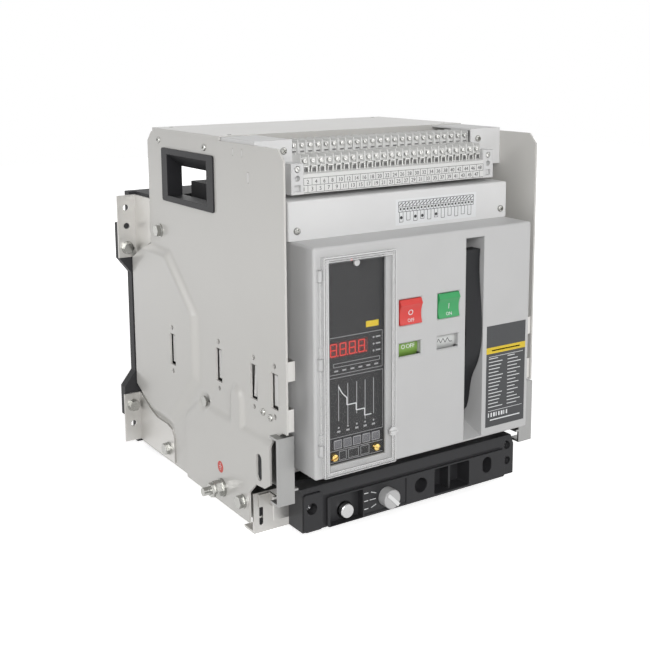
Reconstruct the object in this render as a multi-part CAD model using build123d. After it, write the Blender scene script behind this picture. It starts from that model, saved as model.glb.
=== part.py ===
from build123d import *
from math import cos, pi, radians, sin
import os

os.makedirs("parts", exist_ok=True)

# A three-pole withdrawable air circuit breaker in its cradle, in millimetres.
# X runs to the right of someone who faces the front, Y to the rear, Z up.
# The origin is on the floor, at the centre of the four foot bolts.
# "Depth" counts rearward from the side plates' front edge, and "height" up
# from the side plates' bottom edge, as on a cradle's own drawing.

# Cradle envelope
CRADLE_WIDTH = 350.0
PLATE_HEIGHT = 428.0
PLATE_DEPTH = 386.0
PLATE_T = 2.5
FOOT_DROP = 13.0
FRONT_TO_ORIGIN = 210.0

# Clearances
RUN_GAP = 0.3
SHAFT_GAP = 0.06

# Poles and conductors
POLE_PITCH = 95.0
POLES = 3
LOWER_BAR_HEIGHT = 113.0
BAR_SPACING = 130.0
BAR_WIDTH = 60.0
BAR_T = 15.0

# Breaker body
COVER_WIDTH = CRADLE_WIDTH - 47.4
COVER_BOTTOM = 76.6
COVER_TOP = 327.4
COVER_FRONT = -18.1
COVER_REAR = 45.0
COVER_WALL = 3.0
BREAKER_WIDTH = CRADLE_WIDTH - 42.8
BREAKER_TOP = 370.0

# Heights that carry the breaker: the rails' underside and their ledge
RAIL_LOW = 60.0
RAIL_LEDGE_T = 2.5
BREAKER_BOTTOM = RAIL_LOW + RAIL_LEDGE_T + RUN_GAP


def y_at(depth):
    """The Y of a depth behind the side plates' front edge."""
    return depth - FRONT_TO_ORIGIN


def z_at(height):
    """The Z of a height above the side plates' bottom edge."""
    return height + FOOT_DROP


def block(x0, x1, d0, d1, h0, h1):
    """A box between two X values, two depths and two heights."""
    centre = ((x0 + x1) / 2, y_at((d0 + d1) / 2), z_at((h0 + h1) / 2))
    return Pos(*centre) * Box(abs(x1 - x0), abs(d1 - d0), abs(h1 - h0))


def pin_x(depth, height, radius, x0, x1):
    """A round bar along X."""
    centre = ((x0 + x1) / 2, y_at(depth), z_at(height))
    return Pos(*centre) * Rot(0, 90, 0) * Cylinder(radius, abs(x1 - x0))


def pin_y(x, height, radius, d0, d1):
    """A round bar along Y."""
    centre = (x, y_at((d0 + d1) / 2), z_at(height))
    return Pos(*centre) * Rot(90, 0, 0) * Cylinder(radius, abs(d1 - d0))


def pin_z(x, depth, radius, h0, h1):
    """A round bar along Z."""
    centre = (x, y_at(depth), z_at((h0 + h1) / 2))
    return Pos(*centre) * Cylinder(radius, abs(h1 - h0))


def side_face(points, x):
    """A flat face from (depth, height) corners, square to X."""
    corners = [(y_at(depth), z_at(height)) for depth, height in points]
    return Plane.YZ.offset(x) * make_face(Polyline(*corners, close=True))


def side_slab(points, x0, x1):
    """A plate from (depth, height) corners between two X values."""
    return extrude(side_face(points, min(x0, x1)), abs(x1 - x0))


def front_slab(points, d0, d1):
    """A plate from (x, height) corners between two depths."""
    corners = [(x, z_at(height)) for x, height in points]
    face = Plane.XZ.offset(-y_at(d0)) * make_face(Polyline(*corners, close=True))
    return extrude(face, d0 - d1)


def front_round_slab(x0, x1, h0, h1, radius, d0, d1):
    """A plate with round corners, seen from the front, between two depths."""
    plane = Plane.XZ.offset(-y_at(d0))
    sketch = Pos((x0 + x1) / 2, z_at((h0 + h1) / 2)) * RectangleRounded(x1 - x0, h1 - h0, radius)
    return extrude(plane * sketch, d0 - d1)


def side_round_slab(d0, d1, h0, h1, radius, x0, x1):
    """A plate with round corners, seen from the side, between two X values."""
    plane = Plane.YZ.offset(min(x0, x1))
    place = Pos(y_at((d0 + d1) / 2), z_at((h0 + h1) / 2))
    return extrude(plane * (place * RectangleRounded(d1 - d0, h1 - h0, radius)), abs(x1 - x0))


def hex_x(depth, height, across, x0, x1):
    """A hexagonal head or nut along X."""
    sketch = Pos(y_at(depth), z_at(height)) * RegularPolygon(across / 2, 6, major_radius=False)
    return extrude(Plane.YZ.offset(min(x0, x1)) * sketch, abs(x1 - x0))


def hex_y(x, height, across, d0, d1):
    """A hexagonal head or nut along Y."""
    sketch = Pos(x, z_at(height)) * RegularPolygon(across / 2, 6, major_radius=False)
    return extrude(Plane.XZ.offset(-y_at(d0)) * sketch, d0 - d1)


def other_side(solid):
    """The same piece on the other side of the cradle."""
    return mirror(solid, about=Plane.YZ)


def pole_x(index):
    """The X of a pole's centre line."""
    return (index - (POLES - 1) / 2) * POLE_PITCH


def save(name, shape):
    """One sub-part, one file."""
    export_step(shape, f"parts/{name}.step")


# Side plates: pressed steel, 2.5 mm, with a raised octagon beside the contacts
OUTER_X = CRADLE_WIDTH / 2
INNER_X = OUTER_X - PLATE_T
TOP_CHAMFER = 12.0
PLATE_TOP_DEPTH = 337.0
UPPER_NOTCH_HEIGHT = 283.0
FLAP_BOTTOM = 127.0
TAB_TOP = 113.0
TAB_FRONT = 30.0
TAB_BOTTOM = 54.0
TAB_NECK = 12.0
TAB_CUT = 8.0
NECK_REACH = 16.0
FOOT_FACE_DEPTH = 75.0
FOOT_T = 3.0
FOOT_REAR = FOOT_FACE_DEPTH + FOOT_T
FOOT_FACE_TOP = 35.0
BULGE_FRONT = 201.0
BULGE_TOP = 283.0
BULGE_BOTTOM = 52.0
BULGE_RISE = 6.0
BULGE_SLOPE = 9.0
BULGE_SHIFT = 5.0
BULGE_CUT_FRONT = 77.0
BULGE_CUT_TOP = 67.0
BULGE_CUT_REAR = 46.0
BULGE_CUT_REAR_HEIGHT = 25.0
BULGE_LOW_CUT = 56.0
BULGE_LOW_CUT_HEIGHT = 27.0
LOW_RISE = 4.0
LOW_REAR = 238.0
LOW_CUT = 32.0
LOW_CUT_HEIGHT = 23.0
LOW_FALL = 7.0
LOW_SLOPE = 3.2
ARCH_DEPTH = 106.5
ARCH_RADIUS = 13.5
ARCH_TOP = 152.0
WINDOW_FRONT = 153.5
WINDOW_REAR = WINDOW_FRONT + 138.5
WINDOW_BOTTOM = 344.5
WINDOW_TALL = 65.5
WINDOW_TOP = WINDOW_BOTTOM + WINDOW_TALL
WINDOW_ROUND = 3.0
FRAME_LIP = 5.0
RIVET_DEPTH = 190.6
RIVET_HEIGHT = 111.6
DIMPLE_R = 12.0
SLOTS = ((266.5, 159.0), (152.5, 166.0), (69.3, 167.5), (24.0, 168.5))
SLOT_LENGTH = 40.0
SLOT_WIDTH = 15.0
SLOT_HOLE_R = 3.0
SLOT_HOLE_OFFSET = 28.0
TAB_SLOT = (48.0, 60.0, 59.0, 90.0)
TAB_SLOT_ROUND = 5.5


def bulge_corners():
    """The octagon's corners on the plate."""
    rear = PLATE_DEPTH
    return (
        (rear - BULGE_CUT_REAR, BULGE_TOP),
        (BULGE_FRONT + BULGE_CUT_FRONT, BULGE_TOP),
        (BULGE_FRONT, BULGE_TOP - BULGE_CUT_TOP),
        (BULGE_FRONT, BULGE_BOTTOM + BULGE_CUT_FRONT),
        (BULGE_FRONT + BULGE_CUT_FRONT, BULGE_BOTTOM),
        (rear - BULGE_LOW_CUT, BULGE_BOTTOM),
        (rear, BULGE_BOTTOM + BULGE_LOW_CUT_HEIGHT),
        (rear, BULGE_TOP - BULGE_CUT_REAR_HEIGHT),
    )


def bulge_solid(shrink, x_foot):
    """The raised octagon as a solid, its foot at x_foot and its faces moved in by shrink."""
    foot = side_face(bulge_corners(), x_foot)
    top = Pos(-BULGE_RISE, BULGE_SHIFT, 0) * foot
    foot_small = offset(foot, -shrink, kind=Kind.INTERSECTION) if shrink else foot
    top_small = offset(top, -BULGE_SLOPE - shrink, kind=Kind.INTERSECTION)
    return loft([foot_small.face(), top_small.face()], ruled=True)


def low_corners(inset):
    """The raised lower front of the plate, moved in by inset, without its arch."""
    return (
        (TAB_FRONT + inset, TAB_BOTTOM + TAB_CUT + inset),
        (TAB_FRONT + inset, TAB_TOP - inset),
        (LOW_REAR - LOW_CUT - inset, TAB_TOP - LOW_FALL - inset),
        (LOW_REAR - inset, TAB_TOP - LOW_FALL - LOW_CUT_HEIGHT - inset),
        (LOW_REAR - inset, inset),
        (FOOT_REAR + inset, inset),
        (FOOT_REAR + inset, FOOT_FACE_TOP + 1),
        (FOOT_REAR - NECK_REACH + inset, TAB_BOTTOM - 2 + inset),
        (TAB_FRONT + TAB_NECK + inset, TAB_BOTTOM + inset),
    )


def low_solid(x0, x1, inset):
    """The raised lower front with its arch, between two X values."""
    plate = side_slab(low_corners(inset), x0, x1)
    arch_top = ARCH_TOP - inset
    stem = side_round_slab(
        ARCH_DEPTH - ARCH_RADIUS + inset,
        ARCH_DEPTH + ARCH_RADIUS - inset,
        TAB_BOTTOM + ARCH_RADIUS,
        arch_top,
        ARCH_RADIUS - inset - 0.5,
        x0,
        x1,
    )
    return plate + stem


def side_plate():
    """The left side plate."""
    corners = (
        (0, FLAP_BOTTOM),
        (0, PLATE_HEIGHT - TOP_CHAMFER),
        (TOP_CHAMFER, PLATE_HEIGHT),
        (PLATE_TOP_DEPTH - TOP_CHAMFER, PLATE_HEIGHT),
        (PLATE_TOP_DEPTH, PLATE_HEIGHT - TOP_CHAMFER),
        (PLATE_TOP_DEPTH, UPPER_NOTCH_HEIGHT),
        (PLATE_DEPTH, BULGE_TOP - BULGE_CUT_REAR_HEIGHT),
        (PLATE_DEPTH, 0),
        (FOOT_REAR, 0),
        (FOOT_REAR, FOOT_FACE_TOP + 1),
        (FOOT_REAR - NECK_REACH, TAB_BOTTOM - 2),
        (TAB_FRONT + TAB_NECK, TAB_BOTTOM),
        (TAB_FRONT, TAB_BOTTOM + TAB_CUT),
        (TAB_FRONT, TAB_TOP),
        (TAB_FRONT + TAB_CUT, FLAP_BOTTOM),
    )
    plate = side_slab(corners, -OUTER_X, -INNER_X)
    raised = low_solid(-OUTER_X - LOW_RISE, -OUTER_X, 0)
    raised -= pin_x(RIVET_DEPTH, RIVET_HEIGHT, DIMPLE_R, -OUTER_X - LOW_RISE, -OUTER_X)
    raised = chamfer(raised.faces().sort_by(Axis.X)[0].edges(), LOW_SLOPE, LOW_SLOPE)
    plate += raised
    plate += bulge_solid(0, -OUTER_X)
    plate -= low_solid(-OUTER_X - LOW_RISE + PLATE_T, -INNER_X, PLATE_T * 2)
    plate -= bulge_solid(PLATE_T, -OUTER_X + PLATE_T)
    plate -= side_round_slab(
        WINDOW_FRONT + FRAME_LIP,
        WINDOW_REAR - FRAME_LIP,
        WINDOW_BOTTOM + FRAME_LIP,
        WINDOW_TOP - FRAME_LIP,
        WINDOW_ROUND,
        -OUTER_X,
        -INNER_X,
    )
    reach = -OUTER_X - BULGE_RISE - 1
    for depth, height in SLOTS:
        half_width = SLOT_WIDTH / 2
        half_length = SLOT_LENGTH / 2
        plate -= block(
            reach, -INNER_X, depth - half_width, depth + half_width,
            height - half_length, height + half_length,
        )
        for step in (-1, 1):
            plate -= pin_x(depth, height + step * SLOT_HOLE_OFFSET, SLOT_HOLE_R, reach, -INNER_X)
    plate -= side_round_slab(*TAB_SLOT, TAB_SLOT_ROUND, reach, -INNER_X)
    return plate


PLATE_LEFT = side_plate()
save("side_plate_left", PLATE_LEFT)
save("side_plate_right", other_side(PLATE_LEFT))

# Window frames: black mouldings that line the lifting windows of both plates
FRAME_PROUD = 2.0
FRAME_BAND = 16.0
FRAME_SLOPE_BAND = 23.0
FRAME_DEPTH = 18.0
FRAME_WALL = 2.0


def window_frame():
    """The left window's lining: a flange, a sloped top band and four walls."""
    flange_x = -OUTER_X - FRAME_PROUD
    deep_x = -OUTER_X + FRAME_DEPTH
    lining = side_round_slab(
        WINDOW_FRONT, WINDOW_REAR, WINDOW_BOTTOM, WINDOW_TOP, WINDOW_ROUND, flange_x, -OUTER_X,
    )
    lining += side_round_slab(
        WINDOW_FRONT + FRAME_LIP + RUN_GAP,
        WINDOW_REAR - FRAME_LIP - RUN_GAP,
        WINDOW_BOTTOM + FRAME_LIP + RUN_GAP,
        WINDOW_TOP - FRAME_LIP - RUN_GAP,
        WINDOW_ROUND - RUN_GAP,
        -OUTER_X,
        deep_x,
    )
    hole_front = WINDOW_FRONT + FRAME_BAND
    hole_rear = WINDOW_REAR - FRAME_BAND
    hole_bottom = WINDOW_BOTTOM + FRAME_LIP + RUN_GAP + FRAME_WALL
    hole_top = WINDOW_TOP - FRAME_SLOPE_BAND
    lining -= block(flange_x, deep_x, hole_front, hole_rear, hole_bottom, hole_top)
    face = Plane.XZ.offset(-y_at(hole_front)) * make_face(Polyline(
        (flange_x, z_at(WINDOW_TOP - FRAME_LIP - FRAME_WALL)),
        (deep_x, z_at(hole_top)),
        (flange_x, z_at(hole_top)),
        close=True,
    ))
    lining -= extrude(face, hole_front - hole_rear)
    return lining


save("window_frame_left", window_frame())
save("window_frame_right", other_side(window_frame()))

# Top cover: one folded sheet over the rear half of the cradle
TOP_COVER_FRONT = 139.5
TOP_COVER_REAR = PLATE_TOP_DEPTH - TOP_CHAMFER - 4
TOP_COVER_RISE = 5.0
TOP_COVER_T = 1.5
TOP_COVER_SKIRT = 9.0


def top_cover():
    """A shallow tray upside down, its side skirts standing on the plates' top edges."""
    top = PLATE_HEIGHT + TOP_COVER_RISE
    low = top - TOP_COVER_SKIRT
    sheet = block(-OUTER_X, OUTER_X, TOP_COVER_FRONT, TOP_COVER_REAR, top - TOP_COVER_T, top)
    for side in (-1, 1):
        sheet += block(
            side * OUTER_X, side * (OUTER_X - TOP_COVER_T), TOP_COVER_FRONT, TOP_COVER_REAR,
            PLATE_HEIGHT, top,
        )
    for edge in (TOP_COVER_FRONT, TOP_COVER_REAR - TOP_COVER_T):
        sheet += block(-INNER_X, INNER_X, edge, edge + TOP_COVER_T, low, top)
    return sheet


save("top_cover", top_cover())

# Base pan: folded steel under the breaker
PAN_HEIGHT = 3.0
PAN_T = 2.0
PAN_SKIRT = 32.0
PAN_FLOOR = PAN_HEIGHT + PAN_T

# Rear base: the black insulating moulding that carries the fixed contacts
BRACKET_T = 2.5
BASE_FACE = PLATE_DEPTH + BRACKET_T
BASE_BACK = BASE_FACE + 14.0
BASE_FRONT = 325.0
BASE_HALF = OUTER_X + 7
BASE_TOP = 345.0
EAR_HALF = OUTER_X + 22.5
EAR_RISE = 20.0
UPPER_EAR = (256.0, 304.0)
LOWER_EAR = (40.0, 80.0)
CELL_WIDTH = 78.0
CELL_MARGIN = 24.0
CELL_BACK_T = 8.0
UPPER_BAR_HEIGHT = LOWER_BAR_HEIGHT + BAR_SPACING


def rear_base():
    """A back plate with four ears, and a block between the plates with a cell for each bar."""
    outline = (
        (-BASE_HALF, 0),
        (-BASE_HALF, LOWER_EAR[0]),
        (-EAR_HALF, LOWER_EAR[0]),
        (-EAR_HALF, LOWER_EAR[1]),
        (-BASE_HALF, LOWER_EAR[1] + EAR_RISE),
        (-BASE_HALF, UPPER_EAR[0] - EAR_RISE),
        (-EAR_HALF, UPPER_EAR[0]),
        (-EAR_HALF, UPPER_EAR[1]),
        (-BASE_HALF, UPPER_EAR[1]),
        (-BASE_HALF, BASE_TOP),
    )
    mirrored = tuple((-x, height) for x, height in reversed(outline))
    plate = front_slab(outline + mirrored, BASE_FACE, BASE_BACK)
    plate += block(-INNER_X, INNER_X, BASE_FRONT, BASE_FACE, PAN_FLOOR, BASE_TOP)
    for index in range(POLES):
        x = pole_x(index)
        for height in (LOWER_BAR_HEIGHT, UPPER_BAR_HEIGHT):
            half = BAR_T / 2
            plate -= block(
                x - CELL_WIDTH / 2, x + CELL_WIDTH / 2, BASE_FRONT, BASE_FACE - CELL_BACK_T,
                height - half - CELL_MARGIN, height + half + CELL_MARGIN,
            )
            plate -= block(
                x - BAR_WIDTH / 2, x + BAR_WIDTH / 2, BASE_FRONT, BASE_BACK,
                height - half, height + half,
            )
    return plate


save("rear_base", rear_base())

# Fixed busbars: copper, one pair for each pole, from the contacts to the rear terminals
BAR_FRONT = 320.0
BAR_BACK = 448.0
BAR_HOLE_R = 5.5
BAR_HOLE_PITCH = 30.0
BAR_HOLE_INSET = 15.0
BAR_TIP = 3.0


def busbars(height):
    """Three flat bars with two bolt holes each behind the base."""
    bars = []
    for index in range(POLES):
        x = pole_x(index)
        half = BAR_T / 2
        bar = block(x - BAR_WIDTH / 2, x + BAR_WIDTH / 2, BAR_FRONT, BAR_BACK, height - half, height + half)
        tip = [edge for edge in bar.edges().filter_by(Axis.X) if edge.center().Y < y_at(BAR_FRONT + 1)]
        bar = chamfer(tip, BAR_TIP)
        for side in (-1, 1):
            hole_x = x + side * BAR_HOLE_PITCH / 2
            bar -= pin_z(hole_x, BAR_BACK - BAR_HOLE_INSET, BAR_HOLE_R, height - half, height + half)
        bars.append(bar)
    return Compound(children=bars)


save("upper_busbars", busbars(UPPER_BAR_HEIGHT))
save("lower_busbars", busbars(LOWER_BAR_HEIGHT))

# Wall brackets: folded steel ears that bolt the cradle to a panel
BRACKET_FACE = PLATE_DEPTH
BRACKET_REACH = OUTER_X + 24.5
UPPER_BRACKET = (258.0, 341.0)
LOWER_BRACKET = (4.0, 70.5)
LOWER_LEG = ((4.0, 0.0), (31.0, 13.0), (55.0, 20.0), (89.0, 20.0), (100.0, 23.0), (107.0, 33.0))
WALL_HOLE_R = 4.0
WALL_HOLE_X = OUTER_X + 12.5
WALL_HOLES = (324.5, 300.0)
LOWER_WALL_HOLE = 28.0
CLAMP_BOLT_HEIGHTS = (271.0, 54.0)


def bracket_face(heights, leg_x, holes):
    """A bracket's face against the rear base, with its wall holes."""
    face = block(
        -BRACKET_REACH, leg_x + BRACKET_T, BRACKET_FACE, BRACKET_FACE + BRACKET_T, *heights,
    )
    for height in holes:
        face -= pin_y(-WALL_HOLE_X, height, WALL_HOLE_R, BRACKET_FACE, BRACKET_FACE + BRACKET_T)
    return face


def upper_wall_bracket():
    """The left upper bracket, whose leg fills the side plate's upper rear notch."""
    low, high = UPPER_BRACKET
    corners = (
        (BRACKET_FACE + BRACKET_T, low), (BRACKET_FACE + BRACKET_T, high),
        (PLATE_TOP_DEPTH + RUN_GAP, high), (PLATE_TOP_DEPTH + RUN_GAP, UPPER_NOTCH_HEIGHT + 1),
        (BRACKET_FACE + RUN_GAP, low + 2), (BRACKET_FACE + RUN_GAP, low),
    )
    leg = side_slab(corners, -OUTER_X, -OUTER_X + BRACKET_T)
    return leg + bracket_face(UPPER_BRACKET, -OUTER_X, WALL_HOLES)


def lower_wall_bracket():
    """The left lower bracket, whose leg lies on the outside of the side plate."""
    low, high = LOWER_BRACKET
    leg_x = -OUTER_X - BRACKET_T
    corners = [(BRACKET_FACE + BRACKET_T, low), (BRACKET_FACE + BRACKET_T, high)]
    corners += [(BRACKET_FACE - forward, high - drop) for forward, drop in LOWER_LEG]
    corners.append((BRACKET_FACE - LOWER_LEG[-1][0], low))
    leg = side_slab(corners, leg_x, leg_x + BRACKET_T)
    return leg + bracket_face(LOWER_BRACKET, leg_x, (LOWER_WALL_HOLE,))


UPPER_WALL = upper_wall_bracket()
LOWER_WALL = lower_wall_bracket()
save("wall_brackets_upper", Compound(children=[UPPER_WALL, other_side(UPPER_WALL)]))
save("wall_brackets_lower", Compound(children=[LOWER_WALL, other_side(LOWER_WALL)]))

# Feet: steel angles under the pan's ends
FOOT_FLANGE = 20.0
FRONT_FOOT_BOLT = 86.0
REAR_FOOT_BOLT = 2 * FRONT_TO_ORIGIN - FRONT_FOOT_BOLT
REAR_FOOT_BACK = REAR_FOOT_BOLT + FRONT_FOOT_BOLT - FOOT_FACE_DEPTH
FOOT_BOLT_X = 150.0
FOOT_BOLT_R = 4.5
FOOT_SLOT_X = OUTER_X - 9.5
FOOT_SLOT = (-4.0, 26.0)
FOOT_SLOT_WIDTH = 5.0
REAR_FOOT_INSET = 16.0
CRANK_X = 6.0
CRANK_HEIGHT = 28.6
SCREW_R = 6.0
SCREW_PASS = 2.0


def base_pan():
    """The floor plate with its two side skirts."""
    pan = block(-INNER_X, INNER_X, FOOT_REAR, REAR_FOOT_BACK, PAN_HEIGHT, PAN_FLOOR)
    for side in (-1, 1):
        pan += block(
            side * INNER_X, side * (INNER_X - PAN_T), FOOT_REAR, BASE_FRONT, PAN_HEIGHT, PAN_SKIRT,
        )
    return pan


def front_foot():
    """The front foot angle: a slotted face in front, a flange on the floor."""
    foot = block(-OUTER_X, OUTER_X, FOOT_FACE_DEPTH, FOOT_REAR, -FOOT_DROP, FOOT_FACE_TOP)
    foot += block(
        -OUTER_X, OUTER_X, FOOT_FACE_DEPTH, FOOT_REAR + FOOT_FLANGE, -FOOT_DROP, -FOOT_DROP + FOOT_T,
    )
    foot -= pin_y(CRANK_X, CRANK_HEIGHT, SCREW_R + SCREW_PASS, FOOT_FACE_DEPTH, FOOT_REAR)
    for side in (-1, 1):
        x = side * FOOT_SLOT_X
        half = FOOT_SLOT_WIDTH / 2
        foot -= front_round_slab(
            x - half, x + half, FOOT_SLOT[0], FOOT_SLOT[1], half - RUN_GAP, FOOT_FACE_DEPTH, FOOT_REAR,
        )
        foot -= pin_z(side * FOOT_BOLT_X, FRONT_FOOT_BOLT, FOOT_BOLT_R, -FOOT_DROP, -FOOT_DROP + FOOT_T)
    return foot


def rear_foot():
    """The rear foot angle, set in from the side plates."""
    half_width = OUTER_X - REAR_FOOT_INSET
    back = REAR_FOOT_BACK
    foot = block(-half_width, half_width, back - FOOT_T, back, -FOOT_DROP, PAN_HEIGHT)
    foot += block(
        -half_width, half_width, back - FOOT_T - FOOT_FLANGE, back, -FOOT_DROP, -FOOT_DROP + FOOT_T,
    )
    for side in (-1, 1):
        foot -= pin_z(side * FOOT_BOLT_X, REAR_FOOT_BOLT, FOOT_BOLT_R, -FOOT_DROP, -FOOT_DROP + FOOT_T)
    return foot


save("base_pan", base_pan())
save("front_foot", front_foot())
save("rear_foot", rear_foot())

# Front beam: the black moulding with the racking controls
BEAM_HALF = OUTER_X - 22
BEAM_FRONT = 6.0
BEAM_PANEL_PROUD = 4.0
BEAM_REAR = 35.0
BEAM_BOTTOM = 9.0
BEAM_TOP = 57.0
BEAM_BEVEL = 10.0
PANEL_LEFT = -123.0
PANEL_RIGHT = 136.0
PANEL_TOP = 44.5
PANEL_ROUND = 3.0
END_PAD = (-152.0, -127.5)
END_PAD_TOP = 52.0
END_PAD_PROUD = 1.5
END_PAD_ROUND = 4.0
LOCK_X = -94.5
LOCK_HEIGHT = 20.5
LOCK_R = 8.5
LOCK_POCKET = (-119.5, -76.0, 10.2, 43.0)
LOCK_POCKET_DEPTH = 10.0
LOCK_SUNK = 2.5
LOCK_HOLE_R = 9.8
LOCK_WELL = 5.0
LOCK_END = 23.0
KNOB_X = -43.0
KNOB_HEIGHT = 27.0
KNOB_R = 11.0
KNOB_SHAFT_R = 4.0
PLATE_RECESS = (-74.5, -15.0, 12.0, 42.5)
PLATE_RECESS_DEPTH = 1.2
CRANK_HOLE_R = 9.0
STORE = (26.0, 79.0, 12.0, 43.0)
STORE_DEPTH = 22.0
STORE_RIB_X = 53.0
STORE_RIB_T = 3.0
STORE_RIB_SUNK = 6.0
STORE_ROUND = 2.5
ARCH_HOLE_X = 107.0
ARCH_HOLE_W = 14.0
ARCH_HOLE = (20.5, 40.5)
BEAM_SCREWS = ((-141.5, 35.0, 6.5), (143.0, 46.5, 5.0), (143.0, 27.0, 5.0))
SCREW_WELL = 10.0


def front_beam():
    """A beam with a bevelled top, a raised control panel and its openings."""
    profile = (
        (BEAM_FRONT, BEAM_BOTTOM),
        (BEAM_FRONT, BEAM_TOP - BEAM_BEVEL),
        (BEAM_FRONT + BEAM_BEVEL * 0.5, BEAM_TOP),
        (BEAM_REAR, BEAM_TOP),
        (BEAM_REAR, BEAM_BOTTOM),
    )
    beam = side_slab(profile, -BEAM_HALF, BEAM_HALF)
    face = BEAM_FRONT - BEAM_PANEL_PROUD
    beam += front_round_slab(
        PANEL_LEFT, PANEL_RIGHT, BEAM_BOTTOM + 0.5, PANEL_TOP, PANEL_ROUND, face, BEAM_FRONT + 1,
    )
    pad_left, pad_right = END_PAD
    beam += front_round_slab(
        pad_left, pad_right, BEAM_BOTTOM, END_PAD_TOP, END_PAD_ROUND,
        BEAM_FRONT - END_PAD_PROUD, BEAM_FRONT + BEAM_BEVEL / 2,
    )
    x0, x1, low, high = LOCK_POCKET
    pocket_end = face + LOCK_POCKET_DEPTH
    beam -= block(x0, x1, face, pocket_end, low, high)
    beam -= pin_y(LOCK_X, LOCK_HEIGHT, LOCK_HOLE_R, pocket_end, pocket_end + LOCK_WELL)
    beam -= pin_y(LOCK_X, LOCK_HEIGHT, LOCK_R + RUN_GAP, pocket_end, BEAM_REAR)
    beam -= pin_y(KNOB_X, KNOB_HEIGHT, KNOB_SHAFT_R + SHAFT_GAP, face, BEAM_REAR)
    beam -= block(*PLATE_RECESS[:2], face, face + PLATE_RECESS_DEPTH, *PLATE_RECESS[2:])
    beam -= pin_y(CRANK_X, CRANK_HEIGHT, CRANK_HOLE_R, face, BEAM_REAR)
    beam -= front_round_slab(*STORE, STORE_ROUND, face, face + STORE_DEPTH)
    beam += block(
        STORE_RIB_X - STORE_RIB_T / 2, STORE_RIB_X + STORE_RIB_T / 2,
        face + STORE_RIB_SUNK, face + STORE_DEPTH, *STORE[2:],
    )
    arch_low = ARCH_HOLE_X - ARCH_HOLE_W / 2
    beam -= front_round_slab(
        arch_low, arch_low + ARCH_HOLE_W, *ARCH_HOLE, ARCH_HOLE_W / 2 - RUN_GAP, face, BEAM_REAR,
    )
    for x, height, radius in BEAM_SCREWS:
        beam -= pin_y(x, height, radius, face, BEAM_FRONT + SCREW_WELL)
    return beam


BEAM_BRACKET = (18.0, 45.0)
BEAM_BRACKET_LAP = 10.0
BEAM_BRACKET_T = 2.0
BEAM_BRACKET_TOE = 16.0


def beam_bracket():
    """The left zinc bracket between the beam's end and the front foot."""
    low, high = BEAM_BRACKET
    bracket = block(
        -INNER_X + RUN_GAP, -BEAM_HALF + BEAM_BRACKET_LAP, BEAM_REAR, BEAM_REAR + BEAM_BRACKET_T, low, high,
    )
    bracket += block(
        -BEAM_HALF - BEAM_BRACKET_T, -BEAM_HALF, BEAM_REAR, FOOT_FACE_DEPTH, low, FOOT_FACE_TOP - 2,
    )
    bracket += block(
        -BEAM_HALF - BEAM_BRACKET_TOE, -BEAM_HALF, FOOT_FACE_DEPTH - BEAM_BRACKET_T, FOOT_FACE_DEPTH, low,
        FOOT_FACE_TOP - 2,
    )
    return bracket


save("front_beam", front_beam())
save("beam_brackets", Compound(children=[beam_bracket(), other_side(beam_bracket())]))

# Rails: a fixed channel inside each side plate, and a sliding rail in it
CHANNEL_T = 1.5
CHANNEL_LIP = 6.5
CHANNEL_FRONT = 40.0
CHANNEL_REAR = 320.0
RAIL_TOP = 112.0
RAIL_T = 2.0
RAIL_LEDGE_X = INNER_X - 15
RAIL_REAR = 318.0
GRIP_DEPTH = 6.5
GRIP_T = 2.5
GRIP_OUTER = OUTER_X + 8
GRIP_INNER = INNER_X - 10.5
GRIP_LOW = 46.0
GRIP_TOP = 122.0
GRIP_FLANGE = 16.0


def rail_channel():
    """The left fixed channel."""
    channel_low = RAIL_LOW - RUN_GAP - CHANNEL_T
    channel_top = RAIL_TOP + RUN_GAP + CHANNEL_T
    channel = block(
        -INNER_X, -INNER_X + CHANNEL_T, CHANNEL_FRONT, CHANNEL_REAR, channel_low, channel_top,
    )
    for low in (channel_low, channel_top - CHANNEL_T):
        channel += block(
            -INNER_X, -INNER_X + CHANNEL_LIP, CHANNEL_FRONT, CHANNEL_REAR, low, low + CHANNEL_T,
        )
    return channel


def guide_rail():
    """The left sliding rail: a web, a ledge for the breaker, and a folded grip in front."""
    web_x = -INNER_X + CHANNEL_T + RUN_GAP
    start = GRIP_DEPTH
    rail = block(web_x, web_x + RAIL_T, start, RAIL_REAR, RAIL_LOW, RAIL_TOP)
    rail += block(web_x, -RAIL_LEDGE_X, start, RAIL_REAR, RAIL_LOW, RAIL_LOW + RAIL_LEDGE_T)
    rail += block(web_x, web_x + RAIL_T * 2, start, RAIL_REAR, RAIL_TOP - RAIL_T, RAIL_TOP)
    rail += block(-GRIP_OUTER, -GRIP_INNER, start, start + GRIP_T, GRIP_LOW, GRIP_TOP)
    for low in (GRIP_LOW, GRIP_TOP - GRIP_T):
        rail += block(-GRIP_OUTER, -GRIP_INNER, start, start + GRIP_FLANGE, low, low + GRIP_T)
    return rail


save("rail_channels", Compound(children=[rail_channel(), other_side(rail_channel())]))
save("guide_rail_left", guide_rail())
save("guide_rail_right", other_side(guide_rail()))

# Guide clips: zinc clips just inside the front edges, which centre the breaker
CLIP_T = 1.5
CLIP_LENGTH = 20.0
CLIPS = ((184.5, 206.0, INNER_X - 9.5), (129.0, 154.0, INNER_X - 7.5))


def guide_clips():
    """Two folded clips on each side plate."""
    clips = []
    for low, high, reach in CLIPS:
        clip = block(-INNER_X, -reach, 1, 1 + CLIP_T, low, high)
        clip += block(-reach - CLIP_T, -reach, 1, CLIP_LENGTH, low, high)
        clip += block(-INNER_X, -INNER_X + CLIP_T, 1, CLIP_LENGTH, low, high)
        clips.append(clip)
        clips.append(other_side(clip))
    return Compound(children=clips)


save("guide_clips", guide_clips())

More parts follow.
